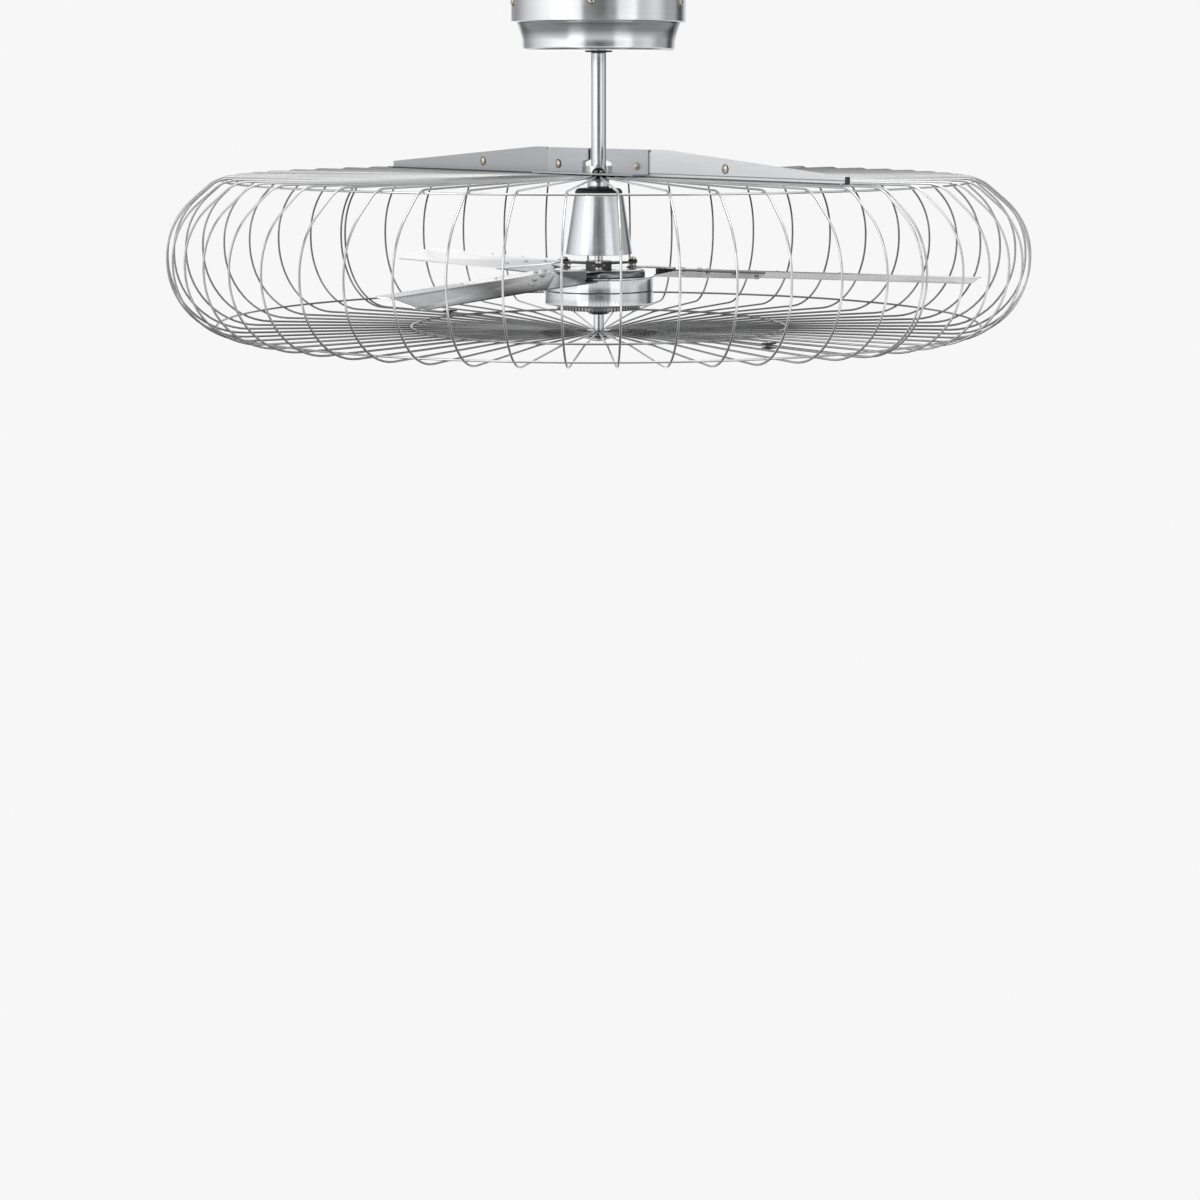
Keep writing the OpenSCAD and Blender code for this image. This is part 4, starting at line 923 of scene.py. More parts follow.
@dataclass
class Downrod(Assembly):
    """The downrod with its collars and the half plates under the top wires."""

    rod_radius: float = 0.01065
    rod_bore: float = 0.00805
    rod: tuple[float, float] = (-0.028, -0.334)
    collar_radius: float = 0.0194
    collar: tuple[float, float] = (-0.254, BAR_FOOT)
    notch_radius: float = 0.01
    notch_rise: float = 0.0007
    notch_back: float = -0.0135
    plate_radius: float = 0.052
    boss_radius: float = 0.0169
    plate: tuple[float, float] = (-0.2702, -0.2722)
    lower_collar_radius: float = 0.015
    lower_collar_bottom: float = -0.286
    split: float = SPLIT_TURN

    def build(self) -> None:
        """Build every piece on the rod."""
        rod = Bench.tube("downrod_tube", (self.rod_bore, self.rod_radius), self.rod, steps=96, edge=0.0004)
        self.hand_in(rod, "satin tube", Slot.ROD, ["downrod"])
        self.make_upper_collar()
        self.make_lower_collar()
        self.make_plates()
        self.make_screws()

    def make_upper_collar(self) -> None:
        """The collar that clamps the bars, with an arched notch at its front."""
        radius, bottom = self.notch_radius, self.collar[1]
        collar = Bench.tube("upper_collar_ring", (self.rod_radius + PLAY, self.collar_radius), self.collar)
        Bench.clear()
        bpy.ops.mesh.primitive_cylinder_add(
            vertices=48, radius=radius, depth=0.02,
            location=(0, self.notch_back - 0.01, bottom + self.notch_rise), rotation=(math.pi / 2, 0, 0))
        arch = bpy.context.object
        bpy.ops.object.transform_apply(location=True, rotation=True, scale=True)
        Bench.cut(collar, arch)
        self.hand_in(Bench.soften(collar, 0.0004), "ground steel", Slot.ROD, ["upper_collar"])
        # Painted shade: the notch's inner faces and its back face are given black paint, for the shade in
        # the recess.
        collar.data.materials.append(Finishes.get("black paint"))
        for face in collar.data.polygons:
            x, y, z = face.center
            across = math.hypot(x, z - bottom - self.notch_rise)
            inside = y < self.notch_back + 0.001 and 0.94 * radius < across < 1.03 * radius
            if (inside and abs(face.normal.y) < 0.2) or abs(y - self.notch_back) < 0.0004:
                face.material_index = 1

    def make_lower_collar(self) -> None:
        """The collar between the half plates and the rubber cap."""
        collar = Bench.tube("lower_collar_ring", (self.rod_radius + PLAY, self.lower_collar_radius),
                            (self.plate[1], self.lower_collar_bottom), edge=0.0006)
        self.hand_in(collar, "ground steel", Slot.ROD, ["lower_collar"])

    def make_plates(self) -> None:
        """Two half plates, each with its half of the boss that the wires end at."""
        top, bottom = self.plate
        bore, crown, half_gap = self.rod_radius + PLAY, self.collar[1] - PLAY, 0.00015
        halves = []
        for side in (0, 180):
            half = Bench.turn("half", [
                (bore, crown), (self.boss_radius, crown), (self.boss_radius, top), (self.plate_radius, top),
                (self.plate_radius, bottom), (bore, bottom)], edge=0.0)
            Bench.take(half)
            bpy.ops.object.mode_set(mode="EDIT")
            bpy.ops.mesh.select_all(action="SELECT")
            a = math.radians(self.split + 90 + side)
            away = (math.cos(a), math.sin(a), 0.0)
            bpy.ops.mesh.bisect(plane_co=half_gap * Vector(away), plane_no=away,
                                use_fill=True, clear_inner=True)
            bpy.ops.object.mode_set(mode="OBJECT")
            halves.append(Bench.soften(half, 0.0002))
        self.hand_in(Bench.join("top_hub_half_plates", halves), "iron hub", Slot.GREY_SHEET,
                     ["top_hub_plates"])

    def make_screws(self) -> None:
        """Two screws in the collar's notch and one in the lower collar."""
        screw = PanScrew(head=0.0028, rise=0.0016, shank=0.0014, length=0.0024).build("screw")
        front = (0, -1, 0)
        lower_height = (self.plate[1] + self.lower_collar_bottom) / 2
        places = [facing((x, self.notch_back - 0.0004, self.collar[1] + 0.0045), front)
                  for x in (-0.0042, 0.0042)]
        places.append(facing((0, -self.lower_collar_radius, lower_height), front))
        self.hand_in(Bench.repeat("collar_screw_set", screw, places), "brass plate", Slot.BRASS,
                     ["collar_screws"])


@dataclass
class Bars(Assembly):
    """The long bars on the split, with the centre brackets and bolts."""

    split: float = SPLIT_TURN
    bolt_height: float = -0.253
    outer_bolt: float = 0.256
    inner_bolt: float = 0.083
    half_web: float = 0.00155
    half_length: float = 0.475
    plug_height: float = 0.0095
    bracket: float = 0.002

    def build(self) -> None:
        """Dress the bars, and make their bolts, the rings round the screws and the end plug."""
        self.keep("satin sheet", "front_bars", "back_bars")
        self.keep("grey sheet", "front_centre_bracket", "back_centre_bracket")
        screw = PanScrew(head=0.0054, rise=0.0028, shank=0.0025, length=0.0075).build("screw")
        nut = HexNut(across=0.0086, height=0.0035, thread=0.0025, stub=0.0012).build("nut")
        thick = self.half_web + self.bracket
        heads = [(-self.outer_bolt, self.half_web, -1), (self.outer_bolt, self.half_web, -1),
                 (-self.inner_bolt, thick, -1), (self.inner_bolt, thick, 1)]
        fronts = [self.place(along, side * depth, side) for along, depth, side in heads]
        backs = [self.place(along, -side * depth, -side) for along, depth, side in heads]
        self.hand_in(Bench.repeat("bar_screw_set", screw, fronts), "brass plate", Slot.BRASS, ["bar_bolts"])
        self.hand_in(Bench.repeat("bar_nut_set", nut, backs), "brass plate", Slot.BRASS)
        ring = Bench.tube("ring", (0.0026, 0.0064), (-0.0002, 0.0004), steps=32)
        self.hand_in(Bench.repeat("bar_screw_rings", ring, fronts), "black rubber", Slot.RUBBER)
        plug = Bench.block("bar_end_plug", (0.0046, 0.0052, self.plug_height),
                           (self.half_length + 0.0024, 0.0, BAR_FOOT + self.plug_height / 2))
        plug.data.transform(turned(self.split))
        self.hand_in(Bench.soften(plug, 0.0004), "black rubber", Slot.RUBBER)

    def place(self, along: float, across: float, side: int) -> Matrix:
        """A place on the bars' web, looking to one side of the split."""
        a = math.radians(self.split)
        x = along * math.cos(a) - across * math.sin(a)
        y = along * math.sin(a) + across * math.cos(a)
        return facing((x, y, self.bolt_height), (-side * math.sin(a), side * math.cos(a), 0.0))


# Cage


@dataclass
class Cage(Assembly):
    """Two half cages of bent wire, their rings, weld beads, hub plate and clamps."""

    split: float = SPLIT_TURN
    wires: int = 28
    wire_radius: float = 0.0015
    waist: float = 0.612
    run_height: float = -0.2687
    kink: float = 0.047
    slope: float = 40.0
    shoulder: float = 0.031
    upper_bend: float = 0.103
    waist_length: float = 0.004
    lower_bend: float = 0.105
    inner_ring: float = 0.270
    ring_rise: float = 0.0027
    hub_sag: float = 0.0057
    ends: tuple[float, float, float] = (0.01705, 0.0341, 0.064)
    pair: float = 0.004
    front_step: float = 6.70
    back_step: float = 6.59
    ring_turn: float = 12.7
    outer_turn: float = 22.5
    clamp: float = 0.341
    stations: dict[str, float] = field(default_factory=dict)

    def lay_out(self) -> None:
        """Work out where the bends and rings of one wire lie."""
        s, c = math.sin(math.radians(self.slope)), math.cos(math.radians(self.slope))
        at = self.stations
        at["kink_x"] = self.waist - self.upper_bend * (1 - s) - self.shoulder * c - self.kink * s
        at["kink_z"] = self.run_height - self.kink
        at["waist_top"] = at["kink_z"] + self.kink * c - self.shoulder * s - self.upper_bend * c
        at["waist_low"] = at["waist_top"] - self.waist_length
        at["low_x"] = self.waist - self.lower_bend
        at["bottom"] = at["waist_low"] - self.lower_bend
        at["ring_z"] = at["bottom"] + self.ring_rise
        at["hub_z"] = at["ring_z"] - self.hub_sag
        inset = 2 * self.wire_radius + PLAY
        a = math.radians(self.ring_turn)
        at["top_ring"] = at["kink_x"] + (self.kink - inset) * math.sin(a)
        at["top_ring_z"] = at["kink_z"] + (self.kink - inset) * math.cos(a)
        a = math.radians(self.outer_turn)
        at["outer_ring"] = at["low_x"] + (self.lower_bend - inset) * math.sin(a)
        at["outer_ring_z"] = at["waist_low"] - (self.lower_bend - inset) * math.cos(a)
        at["inner_ring_z"] = at["ring_z"] + inset

    def build(self) -> None:
        """Build both halves and what joins them."""
        self.lay_out()
        for side, base, step in self.halves():
            self.make_half(side, base, step)
        at = self.stations
        self.make_ring("top_ring_hoop", "top_ring", at["top_ring"], at["top_ring_z"])
        self.make_ring("bottom_outer_hoop", "bottom_outer_ring", at["outer_ring"], at["outer_ring_z"])
        self.make_ring("bottom_inner_hoop", "bottom_inner_ring", self.inner_ring, at["inner_ring_z"])
        self.make_beads()
        self.make_hub_plate()
        self.make_clamps()

    def halves(self) -> list[tuple[str, float, float]]:
        """Name, direction and wire spacing of the two half cages."""
        return [("front", self.split + 180.0, self.front_step), ("back", self.split, self.back_step)]

    def spread(self, base: float, step: float) -> list[float]:
        """Directions of a half's wires, even from its middle outwards, without the doubled ones."""
        middle = (self.wires - 1) / 2
        return [base + 90.0 + (k - middle) * step for k in range(1, self.wires - 1)]

    def make_wire(self, start: float) -> bpy.types.Object:
        """Bend one wire in the plane of +X, from the hub, over the waist and back below.

        Args:
            start: distance of its two ends from the axis.

        Returns:
            The wire.
        """
        at = self.stations
        wire = self.section((start, 0, self.run_height), (0, math.pi / 2, 0))
        s, c = math.sin(math.radians(self.slope)), math.cos(math.radians(self.slope))
        steep = math.radians(90 - self.slope)
        self.draw((at["kink_x"] - start, 0, 0))
        self.bend(8, math.radians(self.slope), (at["kink_x"], 0, at["kink_z"]))
        self.draw((self.shoulder * c, 0, -self.shoulder * s))
        self.bend(9, steep, (self.waist - self.upper_bend, 0, at["waist_top"]))
        self.draw((0, 0, -self.waist_length))
        self.bend(14, math.pi / 2, (at["low_x"], 0, at["waist_low"]))
        self.draw((self.inner_ring - at["low_x"], 0, self.ring_rise))
        run = self.inner_ring - start
        self.draw((-run, 0, -self.hub_sag * run / (self.inner_ring - self.ends[0])))
        return self.finish(wire)

    def section(self, place: Point, turn: Point) -> bpy.types.Object:
        """The round end that a wire is drawn from, left in edit mode with everything selected."""
        Bench.clear()
        bpy.ops.mesh.primitive_circle_add(vertices=10, radius=self.wire_radius, fill_type="NOTHING",
                                          location=place, rotation=turn)
        wire = bpy.context.object
        bpy.ops.object.transform_apply(location=True, rotation=True, scale=True)
        bpy.ops.object.mode_set(mode="EDIT")
        bpy.ops.mesh.select_all(action="SELECT")
        return wire

    @staticmethod
    def finish(wire: bpy.types.Object) -> bpy.types.Object:
        """Close both ends of a drawn wire and shade it smooth."""
        bpy.ops.mesh.select_all(action="SELECT")
        bpy.ops.mesh.fill_holes(sides=0)
        bpy.ops.mesh.select_all(action="SELECT")
        bpy.ops.mesh.normals_make_consistent(inside=False)
        bpy.ops.object.mode_set(mode="OBJECT")
        return Bench.soften(wire, 0.0, angle=50)

    @staticmethod
    def draw(step: Point) -> None:
        """Draw the wire's end straight on by a step."""
        bpy.ops.mesh.extrude_region_move(TRANSFORM_OT_translate={"value": step})

    @staticmethod
    def bend(steps: int, angle: float, centre: Point) -> None:
        """Bend the wire's end downwards round a centre; spin counts its angle the other way."""
        bpy.ops.mesh.spin(steps=steps, angle=-angle, center=centre, axis=(0, 1, 0))

    def make_half(self, side: str, base: float, step: float) -> None:
        """Make one half cage: its fan of wires and its two doubled end wires."""
        patterns = [self.make_wire(start) for start in self.ends]
        fan = [turned(angle) for angle in self.spread(base, step)]
        doubled = [turned(base) @ Matrix.Translation((0, self.pair, 0)),
                   turned(base + 180) @ Matrix.Translation((0, -self.pair, 0))]
        groups = [Bench.repeat("wires", pattern, places)
                  for pattern, places in zip(patterns, (fan[1::2], fan[0::2], doubled))]
        self.hand_in(Bench.join(f"{side}_cage_wires", groups), "cage wire", Slot.WIRE,
                     [f"{side}_cage_lengths", f"{side}_cage_links"])

    def make_ring(self, name: str, node: str, radius: float, height: float) -> None:
        """Bend one ring as two half hoops, which stop short of the split."""
        stop = math.asin(0.001 / radius)
        halves = []
        for side in (0.0, 180.0):
            hoop = self.section((radius, 0, height), (math.pi / 2, 0, 0))
            bpy.ops.mesh.spin(steps=96, angle=2 * stop - math.pi, center=(0, 0, 0), axis=(0, 0, 1))
            self.finish(hoop).data.transform(turned(self.split + side + math.degrees(stop)))
            halves.append(hoop)
        self.hand_in(Bench.join(name, halves), "cage wire", Slot.WIRE, [node])

    def wire_angles(self) -> list[float]:
        """Directions of all the wires but the doubled ones."""
        return [angle for _, base, step in self.halves() for angle in self.spread(base, step)]

    def make_beads(self) -> None:
        """A flattened weld bead wherever a wire crosses a ring."""
        at, r = self.stations, self.wire_radius
        spots = arc((at["kink_x"], at["kink_z"]), self.kink - r, [90.0 - self.ring_turn])
        spots += arc((at["low_x"], at["waist_low"]), self.lower_bend - r, [self.outer_turn - 90.0])
        spots.append((self.inner_ring, at["ring_z"] + r))
        Bench.clear()
        bpy.ops.mesh.primitive_ico_sphere_add(subdivisions=2, radius=0.0017)
        bead = bpy.context.object
        bpy.ops.transform.resize(value=(1.25, 1.25, 0.62))
        bpy.ops.object.transform_apply(location=True, rotation=True, scale=True)
        Bench.soften(bead, 0.0, angle=60)
        places = [turned(angle) @ Matrix.Translation((x, 0, z))
                  for angle in self.wire_angles() for x, z in spots]
        self.hand_in(Bench.repeat("weld_beads", bead, places), "weld bead", Slot.WIRE)

    def make_hub_plate(self) -> None:
        """The two discs that hold the bottom wires at the hub, and the nut under them."""
        z, bore, boss, disc, waist = self.stations["hub_z"], 0.00745, 0.0169, 0.0255, 0.0129
        plate = Bench.turn("bottom_hub_discs", [
            (bore, z + 0.0025), (boss, z + 0.0025), (boss, z - 0.0015), (disc, z - 0.0015),
            (disc, z - 0.0045), (waist, z - 0.0045), (waist, z - 0.0055), (disc, z - 0.0055),
            (disc, z - 0.0085), (bore, z - 0.0085)], steps=96, edge=0.0003)
        self.hand_in(plate, "dark burnished steel", Slot.GREY_SHEET, ["bottom_hub_plate"])
        top = z - 0.0085
        nut = Bench.turn("bottom_nut_cap", [
            (bore, top), (0.0100, top), (0.011, top - 0.0008), (0.011, top - 0.0032), (0.0100, top - 0.0042),
            (0.0080, top - 0.0045), (0.0, top - 0.0045), (0.0, top - 0.00255), (bore, top - 0.00255)],
            steps=64, edge=0.0002)
        self.hand_in(nut, "zinc plate", Slot.ZINC, ["bottom_nut"])

    def make_clamps(self) -> None:
        """Two clamps, each with bars above and below the doubled wires."""
        at = self.stations
        share = (at["low_x"] - self.clamp) / (at["low_x"] - self.inner_ring)
        height = at["bottom"] + self.ring_rise * share
        out = Matrix.Translation((self.clamp, 0, height))
        places = [turned(self.split + side) @ out for side in (0, 180)]
        thick = 0.003
        middle = self.wire_radius + PLAY + thick / 2
        bars = [Bench.soften(Bench.block("bar", (0.006, 0.024, thick), (0, 0, z)), 0.0006)
                for z in (middle, -middle)]
        self.hand_in(Bench.repeat("clamp_bar_set", Bench.join("bars", bars), places), "black paint",
                     Slot.BLACK_METAL, ["clamp_bars"])
        lift = self.wire_radius + PLAY + thick
        screw = PanScrew(head=0.0029, rise=0.0016, shank=0.0015, length=0.013).build("screw")
        screw.data.transform(Matrix.Translation((0, 0, lift)))
        nut = HexNut(across=0.0052, height=0.0024, thread=0.0015, stub=0.0008).build("nut")
        nut.data.transform(Matrix.Translation((0, 0, -lift)) @ Matrix.Rotation(math.pi, 4, "X"))
        screws = Bench.repeat("clamp_screw_set", Bench.join("clamp", [screw, nut]), places)
        self.hand_in(screws, "brass plate", Slot.BRASS, ["clamp_screws"])


# Motor


@dataclass
class ConeCover(Assembly):
    """The cone cover over the wiring, with its rubber cap."""

    cap: tuple[float, float] = (-0.286, -0.2945)
    cap_radius: float = 0.0339
    top_radius: float = 0.0355
    low_radius: float = 0.0484
    bottom: float = -0.3788
    wall: float = 0.0015
    bore: float = 0.0107

    def build(self) -> None:
        """Build the cap and the cone."""
        top, low = self.cap
        corner = 0.006
        profile = [(self.bore, top)]
        profile += arc((self.cap_radius - corner, top - corner), corner, range(90, -1, -15))
        profile += [(self.cap_radius, low), (self.bore, low)]
        self.hand_in(Bench.turn("cone_rubber_cap", profile, steps=96, edge=0.0), "black rubber", Slot.RUBBER,
                     ["cone_cap"])
        z, wall, hole = low, self.wall, 0.01465
        wide, foot, end = self.top_radius + 0.0004, self.low_radius, self.bottom
        cone = Bench.turn("cone_cover_shell", [
            (hole, z), (self.top_radius - 0.0006, z), (self.top_radius, z - 0.0006), (wide, z - 0.003),
            (foot, end + 0.0004), (foot - 0.0004, end), (foot - wall, end), (wide - wall, z - 0.003),
            (self.top_radius - wall, z - wall), (hole, z - wall)], steps=160, edge=0.0002)
        self.hand_in(cone, "spun aluminium", Slot.SPUN, ["cone_cover"])
        self.keep("zinc plate", "shaft_coupling")
        self.keep("ground steel", "motor_shaft", "bearing_inner_rings")
        self.keep("varnished iron", "stator_core")
        self.keep("enamelled copper", "stator_windings")


@dataclass
class Motor(Assembly):
    """The turning shell of the motor and the fixed rod below it."""

    body: Body = Body.ROTOR
    top: float = -0.400
    cover_radius: float = 0.067
    cover_height: float = 0.0095
    drum_radius: float = 0.0783
    flange_radius: float = 0.0806
    upper_height: float = 0.020
    gasket: float = 0.0015
    lower_height: float = 0.0195
    vent_radius: float = 0.060
    vent_height: float = 0.007
    cap_radius: float = 0.019
    cap_height: float = 0.0075
    post_angles: tuple[float, ...] = (30.0, 150.0, 270.0)
    post_radius: float = 0.057
    rod_radius: float = 0.0074
    rod_bottom: float = -0.5015

    @property
    def floor(self) -> float:
        """Height of the lower shell's underside."""
        return self.top - self.cover_height - self.upper_height - self.gasket - self.lower_height

    def build(self) -> None:
        """Build the shells from top to bottom."""
        self.make_cover()
        self.make_drum()
        self.make_vent_ring()
        self.make_cap_and_rod()
        self.make_screws()
        self.keep("ground steel", "bearing_outer_rings")
        self.keep("varnished iron", "rotor_ring")

    def make_cover(self) -> None:
        """The dark cover, stepped and chamfered at its rim."""
        r, z, low = self.cover_radius, self.top, self.top - self.cover_height
        hole, bearing, drill = 0.0063, 0.01402, 0.00305
        cover = Bench.turn("rotor_cover_disc", [
            (hole, z), (0.024, z), (0.0245, z - 0.0004), (0.050, z - 0.0004), (0.0505, z), (r - 0.0055, z),
            (r - 0.0035, z - 0.0009), (r - 0.0012, z - 0.0028), (r, z - 0.0052), (r, low + 0.0008),
            (r - 0.0008, low), (bearing, low), (bearing, z - 0.001), (hole, z - 0.001)],
            steps=160, edge=0.0002)
        depth, over = low + 0.0009, z + 0.001
        tool = Bench.turn("drill", [(0, depth), (drill, depth), (drill, over), (0, over)],
                          closed=False, steps=24, edge=0)
        out = Matrix.Translation((self.post_radius, 0, 0))
        drills = Bench.repeat("drills", tool, [turned(a) @ out for a in self.post_angles])
        Bench.cut(cover, drills)
        self.hand_in(Bench.soften(cover, 0.0), "dark burnished steel", Slot.DARK_ROTOR, ["rotor_cover"])
        self.tint(cover, "ground steel", z - 0.0006, z + 0.001)
        self.tint(cover, "black paint", z - 0.0030, z - 0.0006)
        # Painted shadow: the cover's underside and the lowest millimetre of its side are black, for the
        # shadow in the gap above the drum.
        self.tint(cover, "black paint", low - 0.0001, low + 0.0009)

    @staticmethod
    def tint(piece: bpy.types.Object, finish: str, low: float, high: float) -> None:
        """Give the faces between two heights another finish."""
        piece.data.materials.append(Finishes.get(finish))
        for face in piece.data.polygons:
            if low < face.center.z < high:
                face.material_index = len(piece.data.materials) - 1

    def make_drum(self) -> None:
        """Both drum shells and the gasket between them."""
        r, flange, wall, hole, bearing = self.drum_radius, self.flange_radius, 0.003, 0.018, 0.01403
        z = self.top - self.cover_height
        low = z - self.upper_height
        upper = Bench.turn("drum_upper_shell", [
            (hole, z), (flange - 0.0005, z), (flange, z - 0.0005), (flange, z - 0.0016),
            (flange - 0.0006, z - 0.0021), (r + 0.0003, z - 0.0026), (r, z - 0.0034), (r, low + 0.0005),
            (r - 0.0005, low), (r - wall, low), (r - wall, z - 0.0025), (hole, z - 0.0025)],
            steps=192, edge=0.0)
        self.hand_in(upper, "lathe cut aluminium", Slot.SPUN, ["drum_upper"])
        seam = low - self.gasket
        ring = Bench.tube("drum_gasket_ring", (r - wall, r - 0.001), (low, seam))
        self.hand_in(ring, "black rubber", Slot.RUBBER, ["drum_gasket"])
        floor, vent = self.floor, self.floor - self.vent_height
        lower = Bench.turn("drum_lower_shell", [
            (r - 0.0005, seam), (r, seam - 0.0005), (r, floor + 0.0034), (r - 0.0004, floor + 0.0016),
            (r - 0.0015, floor + 0.0004), (r - 0.0032, floor), (hole, floor), (hole, vent), (bearing, vent),
            (bearing, vent + 0.0075), (0.020, vent + 0.0075), (0.020, floor + 0.0025),
            (r - wall, floor + 0.0025), (r - wall, seam)], steps=192, edge=0.0)
        self.hand_in(lower, "lathe cut aluminium", Slot.SPUN, ["drum_lower"])

    def make_vent_ring(self) -> None:
        """The finned ring: a turned ring with fins set round it."""
        r, top, low, hole = self.vent_radius, self.floor, self.floor - self.vent_height, 0.01805
        core = Bench.turn("core", [(hole, top), (r - 0.003, top), (r - 0.003, low + 0.0008),
                                   (r - 0.0038, low), (hole, low)], steps=144, edge=0.0)
        fin = Bench.block("fin", (0.0034, 0.0025, top - low - 0.0004), (r - 0.0017, 0, (top + low) / 2))
        Bench.soften(fin, 0.0005, segments=1)
        fins = Bench.repeat("fins", fin, [turned(5 * k + 2.5) for k in range(72)])
        self.hand_in(Bench.join("vent_ring_fins", [core, fins]), "milled fins", Slot.SPUN, ["vent_ring"])

    def make_cap_and_rod(self) -> None:
        """The bearing cap under the motor and the fixed rod below it."""
        r, bore, stem, play = self.cap_radius, 0.0063, 0.00605, 0.001
        top = self.floor - self.vent_height
        low = top - self.cap_height
        cap = Bench.turn("bearing_cap_ring", [
            (bore, top), (r, top), (r, top - 0.0025), (r - 0.0012, top - 0.0042), (r - 0.005, low),
            (bore, low)], steps=96, edge=0.0004)
        self.hand_in(cap, "ground steel", Slot.ROD, ["bearing_cap"])
        head, foot, out = low - play, self.rod_bottom, self.rod_radius
        rod = Bench.turn("lower_rod_bar", [
            (0.0, head - 0.0125), (stem, head - 0.0125), (stem, head), (out, head), (out, foot + 0.0006),
            (out - 0.0006, foot), (0.0, foot)], closed=False, steps=64, edge=0.0)
        self.hand_in(rod, "satin tube", Slot.ROD, ["lower_rod"], body=Body.HANGING)

    def make_screws(self) -> None:
        """Small brass screws in the cover's rim."""
        screw = PanScrew(head=0.0026, rise=0.0015, shank=0.0014, length=0.005).build("screw")
        height = self.top - 0.006
        places = [round_about(self.cover_radius, height, a) for a in self.post_angles]
        self.hand_in(Bench.repeat("cover_screw_set", screw, places), "brass plate", Slot.BRASS,
                     ["cover_screws"])


